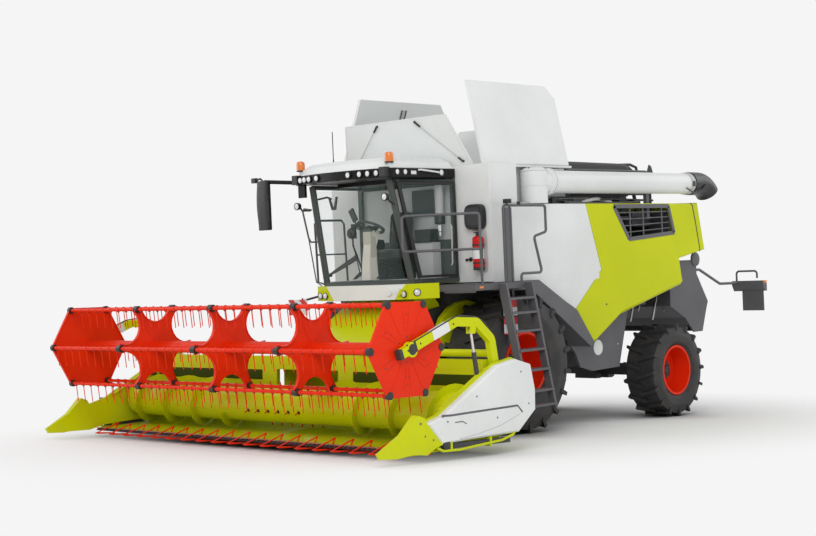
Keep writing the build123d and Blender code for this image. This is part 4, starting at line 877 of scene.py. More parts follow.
# pipes and hoses in the gap between tank, tube and side panels
DECK_PIPES = (
    # finish, left, height, radius, front end, rear end
    (iron, 1.31, 3.115, 0.022, 1.0, 3.2),
    (black, 1.36, 3.15, 0.016, 1.2, 3.6),
    (steel, 1.27, 3.165, 0.019, 0.95, 3.26),
    (grey, 1.4, 3.112, 0.014, 1.3, 3.1),
    (black, 1.34, 3.2, 0.01, 1.05, 2.6),
)
DECK_BLOCKS = (
    # front end, length, left, height over the tray
    (1.1, 0.16, 1.3, 0.085),
    (1.55, 0.22, 1.33, 0.07),
    (2.72, 0.18, 1.31, 0.095),
    (3.05, 0.14, 1.36, 0.06),
)
PIPE_STEPS = 12
HOSE_STEPS = 40
for name, _, place in sides(at):
    pipes = Piece(f"deck_pipes_{name}", "engine_metal", iron)
    for k, (mat, x, z, radius, begin, end) in enumerate(DECK_PIPES):
        pipes.use(mat)
        line = []
        for n in range(PIPE_STEPS + 1):
            y = begin + (end - begin) * n / PIPE_STEPS
            line.append((x + 0.014 * sin(3.1 * y + k), y, z + 0.01 * sin(2.3 * y + 2 * k)))
        pipes.tube(line, radius, 8, place)
    pipes.use(pale)
    hose = []
    for n in range(HOSE_STEPS + 1):
        t = n / HOSE_STEPS
        hose.append((1.37 + 0.03 * sin(6 * t), 1.75 + 0.75 * t, 3.1 + 0.2 * t * (1 - t) + 0.01))
    pipes.tube(hose, [0.03 if n % 2 else 0.024 for n in range(HOSE_STEPS + 1)], 12, place)
    pipes.use(iron)
    for y, length, x, high in DECK_BLOCKS:
        pipes.box((x - 0.06, x + 0.05), (y, y + length), (3.095, 3.095 + high), place)
    pipes.use(grey).box((1.215, 1.44), (0.93, 3.24), (3.062, 3.088), place)
    pipes.done(0.004)

STACK = [
    (0, 0.16), (0.03, 0.165), (0.05, 0.12), (0.3, 0.115), (0.32, 0.14), (0.42, 0.14),
    (0.46, 0.09),
]
HOOP_PIPE = (
    (0.95, 2.2, 3.02), (0.97, 2.6, 3.42), (0.95, 3.1, 3.55), (0.96, 3.6, 3.5),
    (0.96, 3.72, 3.1), (0.95, 3.74, 2.97),
)
DUCT = (
    # rearward, bottom, top
    (1.8, 3.61, 3.71),
    (2.0, 3.6, 3.735),
    (3.3, 3.6, 3.725),
    (3.52, 3.57, 3.685),
    (3.64, 3.5, 3.61),
)
deck = Piece("deck_fittings", "engine_metal", iron)
for x in (-0.62, 0.52):
    deck.turned(at(x, 3.52, 2.97), UP, STACK, 32)
deck.use(black).tube(HOOP_PIPE, 0.03, 12)
deck.use(grey).box((0.7, 1.05), (1.72, 3.3), (2.965, 2.995))
for k in range(14):
    deck.box((0.7, 1.05), (1.78 + 0.11 * k, 1.8 + 0.11 * k), (2.99, 3.02))
deck.use(black).box((0.44, 1.02), (2.32, 3.38), (2.97, 3.6))
deck.use(iron)
for k in range(9):
    deck.box((0.42, 1.045), (2.3, 3.4), (3.03 + 0.064 * k, 3.05 + 0.064 * k))
deck.solid(
    [
        [at(x, y, low) for x in (0.86, 1.04)]
        + [at(1.04, y, high - 0.03), at(1.01, y, high), at(0.89, y, high), at(0.86, y, high - 0.03)]
        for y, low, high in DUCT
    ]
)
DUCT_PIPE = ((3.3, 3.71), (3.62, 3.72), (3.78, 3.68), (3.82, 3.52))
deck.tube([(0.95, y, z) for y, z in DUCT_PIPE], 0.022, 12)
deck.plate([(4.02, 3.5), (4.28, 3.5), (4.2, 3.7), (4.14, 3.73)], (0.94, 0.955))
deck.tube([(0.95, 4.14, 2.97), (0.95, 4.14, 3.55)], 0.02, 12)
deck.done(0.003)


# ---------------------------------------------------------------- tank flaps
def turned_at(corners, k):
    """The directions into and out of a corner of an outline."""
    before = (corners[k] - corners[k - 1]).normalized()
    return before, (corners[(k + 1) % len(corners)] - corners[k]).normalized()


def outline(node, way):
    """Corners, in order, of the node's largest flat face that looks the given way."""
    mesh = bmesh.new()
    mesh.from_mesh(nodes[node].data)
    bmesh.ops.dissolve_limit(mesh, angle_limit=radians(1), verts=mesh.verts, edges=mesh.edges)
    facing = (face for face in mesh.faces if face.normal.dot(way) > 0.5)
    best = max(facing, key=lambda face: face.calc_area())
    corners = [nodes[node].matrix_world @ vert.co for vert in best.verts]
    normal = best.normal.copy()
    mesh.free()
    kept = []
    for k, corner in enumerate(corners):
        before, after = turned_at(corners, k)
        if before.cross(after).length > 0.05:
            kept.append(corner)
    return kept, normal


def rim(piece, corners, normal, wide, high):
    """A raised rim along the inside of an outline, sunk 1 mm into the face."""
    middle = sum(corners, Vector()) / len(corners)
    inner = []
    for k, corner in enumerate(corners):
        ins = []
        for way in turned_at(corners, k):
            inward = normal.cross(way)
            ins.append(-inward if inward.dot(middle - corner) < 0 else inward)
        inner.append(corner + (ins[0] + ins[1]) / (1 + ins[0].dot(ins[1])) * wide)
    for k in range(len(corners)):
        nxt = (k + 1) % len(corners)
        ring = (corners[k], corners[nxt], inner[nxt], inner[k])
        piece.solid([[p + normal * level for p in ring] for level in (-0.001, high)])


def bar(piece, start, end, normal, half, high):
    """A flat bar on a face from start to end, sunk 1 mm into it."""
    side = normal.cross(end - start).normalized() * half
    ring = (start + side, start - side, end - side, end + side)
    piece.solid([[p + normal * level for p in ring] for level in (-0.001, high)])


for side, name in ((1, "left"), (-1, "right")):
    corners, normal = outline(f"flap_{name}", Vector((-side, 0, 0.2)))
    edge = Piece(f"flap_{name}_frame", "white_paint", white, f"tank_flap_{name}")
    rim(edge, corners, normal, 0.012, 0.001)
    feet = sorted(corners, key=lambda c: c.z)[:2]
    foot = (feet[0] + feet[1]) / 2
    across_foot = (feet[1] - feet[0]).normalized()
    rise = max(corners, key=lambda c: c.z) - foot
    rise = rise - across_foot * rise.dot(across_foot)
    for mat, shift, half, high in (
        (grey, -0.045, 0.012, 0.01),
        (grey, 0.045, 0.012, 0.01),
        (pale, 0, 0.03, 0.006),
    ):
        edge.use(mat)
        start = foot + across_foot * shift
        bar(edge, start + rise * 0.22, start + rise * 0.9, normal, half, high)
    edge.use(white)
    front_foot = min(feet, key=lambda c: c.y)
    front_top = min(corners, key=lambda c: c.y - 0.4 * c.z)
    way = (front_top - front_foot).normalized()
    ahead = normal.cross(way) * (1 if normal.cross(way).y > 0 else -1)
    edge.solid(
        [
            [end + ahead * near for near in (0.001, 0.008)]
            + [end + ahead * near - normal * 0.045 for near in (0.008, 0.001)]
            for end in (front_foot + way * 0.06, front_top - way * 0.01)
        ]
    )
    edge.use(iron)
    for k in (0.25, 0.75):
        spot = feet[0].lerp(feet[1], k) + rise * 0.28
        edge.bolt(spot + normal * 0.001, normal, 0.014)
    edge.done(bevel=0.0015, smooth=35)

for side, name in ((-1, "front"), (1, "rear")):
    corners, normal = outline(f"flap_{name}", BACK * side + UP * 0.3)
    ordered = sorted(corners, key=lambda c: c.z)
    low_pair = sorted(ordered[:2], key=lambda c: c.x)
    high_pair = sorted(ordered[-2:], key=lambda c: c.x)

    def panel(u, v, out):
        """Place on the flap: across from the machine's right, up, and off its face."""
        foot, crest = low_pair[0].lerp(low_pair[1], u), high_pair[0].lerp(high_pair[1], u)
        return foot.lerp(crest, v) + normal * out

    stays = Piece(f"flap_{name}_stays", "dark_paint", steel, f"tank_flap_{name}")
    for u, low_u in ((0.33, 0.07), (0.7, 0.95)):
        top, bottom = panel(u, 0.93, 0.018), panel(low_u, 0.07, 0.018)
        way = (bottom - top).normalized()
        stays.use(steel).tube([top, bottom], 0.0035, 8)
        stays.use(black).tube([top, top + way * 0.11], 0.013)
        stays.tube([bottom - way * 0.09, bottom], 0.012)
        stays.use(iron)
        for spot in (top, bottom):
            stays.turned(spot - normal * 0.019, normal, [(0, 0.016), (0.026, 0.012)], 10)
    stays.use(white)
    rim(stays, corners, normal, 0.012, 0.004)
    stays.done()

# ---------------------------------------------------------------- cab outside
def upright_board(low, high, foot, top):
    """Outline of a rectangle seen from the front or the side."""
    return [(low, foot), (high, foot), (high, top), (low, top)]


def bow_at(x, half, corner, bow):
    """How far forward a bowed front is at a distance from the middle."""
    sag = corner - bow
    radius = (half**2 + sag**2) / (2 * sag)
    return bow + radius - (radius**2 - x**2) ** 0.5


def squircle(count, power):
    """Points of a rounded square of half width 1."""
    for k in range(count):
        c, s = cos(2 * pi * k / count), sin(2 * pi * k / count)
        size = (abs(c) ** power + abs(s) ** power) ** (-1 / power)
        yield c * size, s * size


def rounded(piece, middle, x_half, z_half, rings, power=4.0):
    """A housing with a rounded-box outline seen from the front: rings of (y, share)."""
    x, z = middle
    piece.solid(
        [
            [at(x + x_half * share * c, y, z + z_half * share * s) for c, s in squircle(32, power)]
            for y, share in rings
        ]
    )


ROOF_BOW = (0.92, -1.69, -1.89)
APRON_BOW = (0.86, -1.42, -1.59)
LAMP_SETBACK = 0.024
BEACON = (0.84, -1.66)
BEACON_BASE = [(0, 0.04), (0.004, 0.06), (0.018, 0.06), (0.019, 0.0555)]
BEACON_LENS = [
    (0.004, 0.0565), (0.05, 0.0585), (0.085, 0.0585), (0.111, 0.0562), (0.122, 0.045),
    (0.13, 0.026), (0.133, 0.002),
]
ROOF_GRIP = ((0.915, -1.19, 3.575), (0.95, -1.18, 3.575), (0.955, -0.83, 3.545), (0.92, -0.8, 3.54))
roof = Piece("roof_fittings", "dark_paint", black)
for x in (0.3, 0.48, 0.6, 0.72):
    for side in (1, -1):
        roof.lamp(at(side * x, bow_at(x, *ROOF_BOW) - LAMP_SETBACK, 3.538), -BACK, 0.04)
for y in (-1.6, -1.45):
    for side in (1, -1):
        roof.lamp(at(side * 0.9205, y, 3.545), LEFT * side, 0.038)
for _, side, place in sides(at):
    roof.use(black).box((0.78, 0.88), (-1.8, -1.7), (3.485, 3.612), place)
    roof.box((0.919, 0.93), (-1.36, -1.24), (3.5, 3.575), place)
    roof.use(chromed).box((0.929, 0.934), (-1.35, -1.25), (3.515, 3.56), place)
    roof.use(white).tube(ROOF_GRIP, 0.013, place=place)
    roof.lamp(place(0.9205, -0.74, 3.545), LEFT * side, 0.045)
    roof.use(black).turned(place(*BEACON, 3.665), UP, BEACON_BASE)
    roof.use(amber).turned(place(*BEACON, 3.68), UP, BEACON_LENS, 32)
roof.use(black)
roof.turned(at(-0.56, -1.3, 3.735), UP, [(0, 0.026), (0.02, 0.024), (0.05, 0.011), (0.09, 0.007)])
roof.use(pale).band([(-1.6, 3.6005), (-1.0, 3.6005), (-0.5, 3.6005)], 0.004, (0.905, 0.9212))
roof.done(0.002)

MIRROR_TOP, MIRROR_LENGTH = 3.585, 0.69
MIRROR_Y, MIRROR_REAR_HALF = -1.77, 0.033
mirror = Piece("far_mirror", "black_plastic", black)
rings = []
for k in range(11):
    share = k / 10
    z = MIRROR_TOP - MIRROR_LENGTH * share
    lean = -0.035 * sin(pi * min(1, share * 1.25)) - 0.01 * share
    x = -1.495 + lean * 0.3
    wide = 0.11 + 0.012 * sin(pi * share)
    deep = 0.034 + 0.012 * sin(pi * share)
    rings.append(
        [
            at(x + wide * c, MIRROR_Y + (deep if s < 0 else MIRROR_REAR_HALF) * s, z)
            for c, s in squircle(24, 5)
        ]
    )
mirror.solid(rings)
mirror.use(silver)
MIRROR_GLASS = [(-1.575, 2.94), (-1.415, 2.94), (-1.405, 3.54), (-1.585, 3.54)]
mirror.sheet(MIRROR_GLASS, (-1.7385, -1.7355))
mirror.use(black).tube([(-1.5, -1.76, 3.57), (-1.56, -1.77, 3.62), (-1.66, -1.77, 3.6)], 0.014)
mirror.box((-1.72, -1.64), (-1.8, -1.74), (3.565, 3.635))
mirror.done(0.003)

SLANT = Vector((0.315, -0.26, 0)).normalized()
front = Piece("apron_lamps", "black_plastic", black)
for side, lamps in ((1, (0.81,)), (-1, (0.6, 0.74))):
    for x in lamps:
        front.lamp(at(side * x, bow_at(x, *APRON_BOW) - LAMP_SETBACK, 1.95), -BACK, 0.042)
    front.lamp(at(side * 0.935, -1.335, 1.965), LEFT * side * SLANT.x + BACK * SLANT.y, 0.045)
front.use(grey).sheet(upright_board(-0.7, 0.7, 1.872, 1.879), (-1.4, -1.2))
front.done(smooth=30)

WIPER_COVER = (
    # left, front, height, half depth
    (-0.6, -1.424, 2.235, 0.012),
    (-0.45, -1.452, 2.285, 0.024),
    (-0.2, -1.489, 2.372, 0.034),
    (0.02, -1.52, 2.452, 0.038),
    (0.06, -1.524, 2.47, 0.022),
)
wiper = Piece("wiper", "black_plastic", black)
wiper.solid(
    [
        [at(x, y, z - h), at(x, y, z + h), at(x, y - 0.014, z + h), at(x, y - 0.014, z - h)]
        for x, y, z, h in WIPER_COVER
    ]
)
wiper.turned(at(-0.6, -1.4, 2.235), -BACK, [(0, 0.028), (0.036, 0.024), (0.04, 0.012)])
wiper.tube([(0.03, -1.532, 2.455), (0.02, -1.575, 2.7), (0.0, -1.588, 2.8)], 0.007)
wiper.tube([(0.03, -1.527, 2.455), (0.05, -1.5, 2.28), (0.055, -1.488, 2.2)], 0.007)
wiper.done(0.002)

for (name, _, place), spot in zip(sides(at), ((0.8, -1.74, 3.225), (1.0, -1.62, 3.2))):
    spot = place(*spot)
    lamps = Piece(f"pillar_lamp_{name}", "black_plastic", black)
    lamps.turned(spot, -BACK, [(-0.07, 0.02), (-0.05, 0.045), (-0.012, 0.052), (0, 0.052)])
    lamps.lamp(spot, -BACK, 0.046)
    lamps.use(black)
    stalk = [spot + BACK * 0.06, spot + BACK * 0.1 - UP * 0.06, place(0.8, -1.56, 3.13)]
    lamps.tube(stalk, 0.013)
    lamps.done()

FAR_GRIP = (
    (-0.8, -1.53, 3.14), (-0.93, -1.55, 3.16), (-0.965, -1.54, 3.12), (-0.955, -1.46, 2.76),
    (-0.93, -1.44, 2.7), (-0.82, -1.4, 2.7),
)
FAR_RAIL = (
    (-0.9, -1.22, 2.1), (-1.03, -1.24, 2.14), (-1.03, -1.26, 2.96), (-1.03, -1.2, 3.0),
    (-1.03, -0.74, 3.0), (-1.03, -0.69, 2.95), (-1.03, -0.66, 2.14), (-0.9, -0.64, 2.1),
)
rail = Piece("far_handrails", "dark_paint", grey)
rail.tube(FAR_GRIP, 0.013)
rail.tube([(-0.955, -1.46, 2.76), (-0.93, -1.37, 2.14), (-0.9, -1.3, 2.09)], 0.009)
rail.tube(FAR_RAIL, 0.016)
rail.tube([(-1.03, -1.25, 2.52), (-1.03, -0.675, 2.52)], 0.011)
rail.use(iron).tube([(-1.0, -1.14, 1.95), (-1.12, -1.2, 1.93), (-1.34, -1.27, 1.88)], 0.016)
rail.tube([(-1.34, -1.27, 1.92), (-1.34, -1.275, 1.7)], 0.012)
rail.use(stripes).sheet(upright_board(-1.6, -1.22, 1.68, 1.9), (-1.302, -1.29))
rail.done(0.002)

# ---------------------------------------------------------------- cab inside
HOOK = [
    (-0.56, 3.3), (-0.5, 3.12), (-0.42, 3.12), (-0.38, 3.3), (-0.41, 3.3), (-0.45, 3.17),
    (-0.48, 3.17), (-0.53, 3.3),
]
SCREEN = [(-0.22, 3.09), (-0.13, 2.93), (-0.05, 2.97), (-0.14, 3.13)]
KNOB = [(-0.005, 0.018), (0.03, 0.03), (0.07, 0.028), (0.085, 0.012)]


def behind_seat(z):
    """A point on the line of the round fittings at the cab's rear left corner."""
    return at(0.73, -0.6, z)


inside = Piece("cab_furniture", "black_plastic", beige)
inside.use(pale).box((-0.78, 0.78), (-1.27, -0.52), (2.1335, 2.14))
inside.turned(behind_seat(2.99), UP, [(0, 0.06), (0.4, 0.06)])
inside.use(black)
inside.turned(behind_seat(2.86), UP, [(0, 0.062), (0.012, 0.074), (0.11, 0.074), (0.13, 0.064)])
inside.use(chromed)
cup = [(0, 0.02), (0.06, 0.022), (0.065, 0.035), (0.15, 0.035)]
inside.turned(behind_seat(2.7), UP, cup, 16)
inside.use(pale).box((0.34, 0.66), (-0.7, -0.53), (2.14, 2.62))
inside.box((-0.7, -0.4), (-0.66, -0.53), (2.14, 2.5))
inside.use(black).box((0.36, 0.64), (-0.72, -0.55), (2.62, 2.8))
inside.box((0.18, 0.7), (-0.545, -0.515), (3.0, 3.34))
inside.box((0.22, 0.66), (-0.56, -0.54), (3.03, 3.06))
inside.tube([(-0.1, -1.3, 2.3), (-0.28, -1.27, 2.62), (-0.3, -1.25, 2.78)], 0.012)
dial = [(-0.02, 0.05), (0, 0.072), (0.016, 0.072), (0.02, 0.06)]
inside.turned(at(-0.3, -1.275, 2.79), -BACK, dial)
inside.sheet(SCREEN, (-1.4, -1.375))
inside.tube([(-0.14, -1.385, 3.03), (-0.1, -1.36, 2.86)], 0.01)
inside.sheet(HOOK, (-1.44, -1.42))
inside.tube([(-0.72, -1.47, 3.28), (-0.56, -1.45, 3.3), (-0.5, -1.43, 3.27)], 0.014)
for x, y, z in ((-0.3, -1.0, 2.74), (-0.28, -0.93, 2.76)):
    inside.tube([(x, y, 2.68), (x, y - 0.02, z)], 0.014)
    inside.turned(at(x, y - 0.02, z), UP, KNOB, 16)
inside.box((-0.42, -0.34), (-1.16, -1.13), (2.72, 2.92))
inside.use(iron)
for x in (-0.26, 0.18):
    inside.solid(
        [
            [at(x + dx, y, z) for dx in (0, 0.08)]
            + [at(x + dx, y - 0.03, z - 0.02) for dx in (0.08, 0)]
            for y, z in ((-1.3, 2.18), (-1.18, 2.26))
        ]
    )
inside.done(0.006)

COLUMN = (
    # height, half width, front, depth, slope
    (2.14, 0.085, -1.335, 0.18, 0),
    (2.38, 0.072, -1.325, 0.14, 0),
    (2.6, 0.066, -1.29, 0.12, -0.1),
    (2.74, 0.07, -1.25, 0.13, -0.2),
    (2.82, 0.08, -1.23, 0.13, -0.2),
)
column = Piece("steering_trim", "black_plastic", beige)
column.solid(
    [
        [at(x, y, z) for x in (-half, half)]
        + [at(x, y + depth, z + slope * depth) for x in (half, -half)]
        for z, half, y, depth, slope in COLUMN
    ]
)
column.use(black).box((-0.07, 0.07), (-1.25, -1.13), (2.815, 2.86))
column.tube([(-0.1, -1.22, 2.8), (-0.22, -1.25, 2.86)], 0.009)
column.tube([(0.1, -1.22, 2.8), (0.2, -1.25, 2.85)], 0.009)
column.done(bevel=0.02, smooth=50, segments=3)

FOLD = ((-1, -0.8), (-0.8, -1), (0.8, -1), (1, -0.8), (1, 0.8), (0.8, 1), (-0.8, 1), (-1, 0.8))
ARMREST = (
    # rearward, bottom, top
    (-1.075, 2.6, 2.665),
    (-1.04, 2.575, 2.7),
    (-0.86, 2.56, 2.705),
    (-0.68, 2.56, 2.69),
    (-0.66, 2.58, 2.67),
)
bench = Piece("seat_base", "black_plastic", black)
folds = []
for k in range(19):
    size = 0.178 if k % 2 else 0.156
    z = 2.15 + 0.0145 * k
    folds.append([at(x * size, -0.84 + y * (size + 0.02), z) for x, y in FOLD])
bench.solid(folds)
bench.use(iron).box((-0.19, 0.19), (-1.04, -0.64), (2.14, 2.152))
bench.box((-0.2, 0.2), (-1.05, -0.63), (2.41, 2.432))
bench.use(black).solid(
    [
        [at(x, y, low) for x in (-0.335, -0.265)] + [at(x, y, high) for x in (-0.265, -0.335)]
        for y, low, high in ARMREST
    ]
)
bench.box((-0.312, -0.275), (-0.8, -0.7), (2.45, 2.6))
bench.done(bevel=0.008, smooth=45)

CLOTH_VOXEL = 0.012
CLOTH_STEPS = 20
CLOTH_REACH = 0.022
SEAM_DEPTH = 0.01
SEAM_WIDTH = 0.01


def baked(made):
    """The object's mesh with its modifiers applied."""
    graph = bpy.context.evaluated_depsgraph_get()
    mesh = bpy.data.meshes.new_from_object(made.evaluated_get(graph))
    made.modifiers.clear()
    made.data = mesh
    return mesh


def blow_up(made):
    """Fills the padding as cloth under pressure, no further than its reach."""
    remesh = made.modifiers.new("remesh", "REMESH")
    remesh.mode = "VOXEL"
    remesh.voxel_size = CLOTH_VOXEL
    start = [vert.co.copy() for vert in baked(made).vertices]
    cover = made.modifiers.new("cloth", "CLOTH")
    cover.settings.use_pressure = True
    cover.settings.uniform_pressure_force = 4
    cover.settings.effector_weights.gravity = 0
    for step in range(1, CLOTH_STEPS + 1):
        bpy.context.scene.frame_set(step)
    for vert, before in zip(baked(made).vertices, start):
        move = vert.co - before
        if move.length > CLOTH_REACH:
            vert.co = before + move * (CLOTH_REACH / move.length)
    bpy.context.scene.frame_set(1)


def cushion(name, centre, half, lean, seams):
    """A padded seat part: a rounded block blown up as cloth, with sewn channels pulled in."""
    mesh = bmesh.new()
    bmesh.ops.create_cube(mesh, size=2)
    bmesh.ops.subdivide_edges(mesh, edges=mesh.edges, cuts=7, use_grid_fill=True)
    rake, tilt = RAKE.to_3x3(), Matrix.Rotation(lean, 4, LEFT).to_3x3()
    for vert in mesh.verts:
        x, y, z = vert.co
        norm = (abs(x) ** 6 + abs(y) ** 6 + abs(z) ** 6) ** (1 / 6)
        pinch = 1 - 0.05 * (1 - abs(x)) * (1 - abs(y)) if abs(z) < 0.5 else 1
        local = Vector((x * half[0], y * half[1] * pinch, z * half[2])) / norm
        vert.co = at(*centre) + rake @ (tilt @ local)
    data = bpy.data.meshes.new(name)
    mesh.to_mesh(data)
    mesh.free()
    made = bpy.data.objects.new(name, data)
    bpy.context.scene.collection.objects.link(made)
    blow_up(made)
    thin = 2 if half[2] < half[1] else 1
    upright = (rake @ tilt).inverted()
    for vert in made.data.vertices:
        local = upright @ (vert.co - at(*centre))
        inward = Vector((0, 0, 0))
        inward[thin] = -1 if local[thin] > 0 else 1
        for axis, level in seams:
            depth = SEAM_DEPTH * 2.718 ** (-(((local[axis] - level) / SEAM_WIDTH) ** 2))
            vert.co += rake @ (tilt @ (inward * depth))
    smooth = made.modifiers.new("smooth", "SUBSURF")
    smooth.levels = smooth.render_levels = 1
    made.data.materials.clear()
    made.data.materials.append(cloth)
    made.data.shade_smooth()
    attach(made, "chassis")
    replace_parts(made, "seat")


SIDE_SEAMS = ((0, -0.13), (0, 0.13))
cushion("seat_cushion", (0, -0.845, 2.485), (0.235, 0.225, 0.045), 0.0, SIDE_SEAMS)
cushion(
    "seat_back", (0, -0.595, 2.8), (0.225, 0.04, 0.285), radians(-6.5), (*SIDE_SEAMS, (2, 0.16))
)

# ---------------------------------------------------------------- cab door
DOOR_GRIP = ((0.94, -0.64, 2.3), (0.962, -0.64, 2.33), (0.962, -0.628, 2.82), (0.94, -0.626, 2.85))
door_trim = Piece("door_trim", "black_plastic", pale, "cabin_door")
door_trim.tube(DOOR_GRIP, 0.01)
door_trim.use(black)
latch = [(-0.6, 2.44), (-0.555, 2.44), (-0.552, 2.58), (-0.597, 2.58)]
door_trim.plate(latch, (0.938, 0.958))
door_trim.done(0.003)

# ---------------------------------------------------------------- platform fittings
HOUSING = ((-0.452, 0.9), (-0.47, 1.0), (-0.528, 1.0), (-0.548, 0.94), (-0.556, 0.78))
BOTTLE = at(1.33, -0.53, 2.2)
BOTTLE_FOOT = [(0.018, 0.07), (0.022, 0.0765), (0.062, 0.0765), (0.064, 0.072)]
BOTTLE_WALL = [
    (0.06, 0.0762), (0.395, 0.0762), (0.442, 0.0758), (0.462, 0.06), (0.474, 0.034),
    (0.476, 0.022),
]
BOTTLE_PATCH = [(0.17, 0.0762), (0.171, 0.0772), (0.3, 0.0772), (0.301, 0.0762)]
BOTTLE_HOSE = ((1.36, -0.545, 2.7), (1.415, -0.56, 2.66), (1.425, -0.56, 2.5), (1.412, -0.55, 2.36))
fittings = Piece("front_wall_fittings", "black_plastic", black)
rounded(fittings, (1.275, 2.93), 0.165, 0.17, HOUSING)
fittings.use(iron)
rounded(fittings, (1.275, 2.935), 0.12, 0.118, ((-0.5555, 1.0), (-0.558, 0.97)))
fittings.use(pale)
rounded(fittings, (1.33, 2.475), 0.1, 0.29, ((-0.452, 1.0), (-0.458, 1.0)), power=8)
for mat, profile in ((black, BOTTLE_FOOT), (scarlet, BOTTLE_WALL), (white, BOTTLE_PATCH)):
    fittings.use(mat).turned(BOTTLE, UP, profile, 32)
fittings.use(black)
for level in (0.115, 0.355):
    fittings.collar(BOTTLE + UP * level, UP, 0.011, 0.075, 0.08, 32)
fittings.turned(BOTTLE, UP, [(0.474, 0.026), (0.52, 0.028), (0.525, 0.015)], 16)
fittings.box((1.3, 1.35), (-0.58, -0.505), (2.715, 2.728))
fittings.box((1.305, 1.345), (-0.61, -0.52), (2.745, 2.755))
fittings.tube(BOTTLE_HOSE, 0.009)
small_knob = [(0, 0.02), (0.012, 0.02), (0.016, 0.012), (0.03, 0.012)]
fittings.turned(at(1.06, -0.452, 2.36), -BACK, small_knob, 16)
large_knob = [(0, 0.03), (0.01, 0.03), (0.014, 0.02), (0.04, 0.019)]
fittings.turned(at(1.13, -0.452, 2.365), -BACK, large_knob, 16)
fittings.use(white).sheet(upright_board(0.93, 1.02, 2.13, 3.35), (-0.4515, -0.4485))
fittings.done(bevel=0.002, smooth=45)

SPRING_ROD = ((1.66, -0.31, 3.1), (1.52, -0.2, 3.105), (1.51, 0.2, 3.108), (1.49, 0.42, 3.1))
post = Piece("rail_fittings", "dark_paint", pale)
post.use(grey).box((1.69, 1.712), (-0.405, -0.32), (2.042, 3.035))
post.tube([(1.7, -0.28, 2.042), (1.7, -0.28, 3.02), (1.7, -0.3, 3.05)], 0.017)
post.use(black).box((1.665, 1.745), (-0.385, -0.3), (3.085, 3.145))
post.tube([(1.7, -0.35, 3.06), (1.7, -0.35, 3.09)], 0.014)
post.turned(at(1.745, -0.34, 3.115), LEFT, [(-0.002, 0.02), (0.01, 0.018), (0.012, 0.008)], 16)
post.use(steel).tube(SPRING_ROD, 0.007)
post.use(black)
post.turned(at(1.7, -0.1, 3.075), UP, [(-0.01, 0.026), (0.03, 0.026), (0.035, 0.018)], 12)
post.use(grey).box((1.2, 1.738), (-1.098, -1.092), (1.935, 1.962))
post.box((0.97, 1.735), (-1.1, -0.93), (2.0405, 2.046))
for k in range(12):
    post.box((1.0 + 0.058 * k, 1.03 + 0.058 * k), (-1.08, -0.48), (2.0405, 2.048))
post.use(iron).box((1.711, 1.721), (-0.47, -0.43), (1.22, 1.965))
post.box((1.711, 1.721), (-0.33, -0.29), (1.22, 1.965))
post.use(stripes).plate(upright_board(-0.54, -0.26, 1.6, 1.82), (1.722, 1.732))
post.plate(upright_board(-0.54, -0.26, 1.36, 1.58), (1.722, 1.732))
post.use(amber).box((1.739, 1.745), (-1.02, -0.94), (1.985, 2.015))
post.done(0.003)

# ---------------------------------------------------------------- bodywork
LOWER_EDGE = ((1.57, 1.18), (1.78, 1.14), (2.46, 1.51), (4.1, 1.88))
REAR_SEAM = [(4.5, 3.095), (4.55, 3.06), (4.62, 2.8), (4.72, 2.36), (4.71, 2.335)]
DOME = (
    (-0.8, 1.2), (-0.82, 1.46), (-0.74, 1.6), (-0.58, 1.72), (-0.38, 1.79), (-0.17, 1.81),
    (0.0, 1.77), (0.08, 1.68), (0.1, 1.45), (-0.05, 1.22),
)
DOME_MIDDLE = (-0.36, 1.46)
PULLEYS = ((2.75, 1.8, 0.2), (3.2, 1.98, 0.13), (3.3, 1.62, 0.1))
BELT = [
    (2.65, 1.985), (3.15, 2.112), (3.33, 1.98), (3.4, 1.62), (3.26, 1.52), (2.8, 1.6),
    (2.6, 1.68), (2.55, 1.8), (2.65, 1.985),
]
RODS = (
    (((0.86, 2.95, 1.15), (0.9, 3.1, 1.6), (0.88, 3.35, 1.95)), 0.014),
    (((0.95, 3.45, 1.3), (0.98, 3.55, 1.7), (0.92, 3.75, 2.05)), 0.018),
    (((1.0, 3.6, 1.45), (1.02, 3.75, 1.8), (0.95, 3.95, 2.1)), 0.011),
    (((1.02, 3.95, 1.3), (1.06, 4.02, 1.62), (1.0, 4.2, 2.0)), 0.02),
    (((1.1, 4.15, 1.42), (1.12, 4.3, 1.75), (1.06, 4.4, 2.02)), 0.013),
)
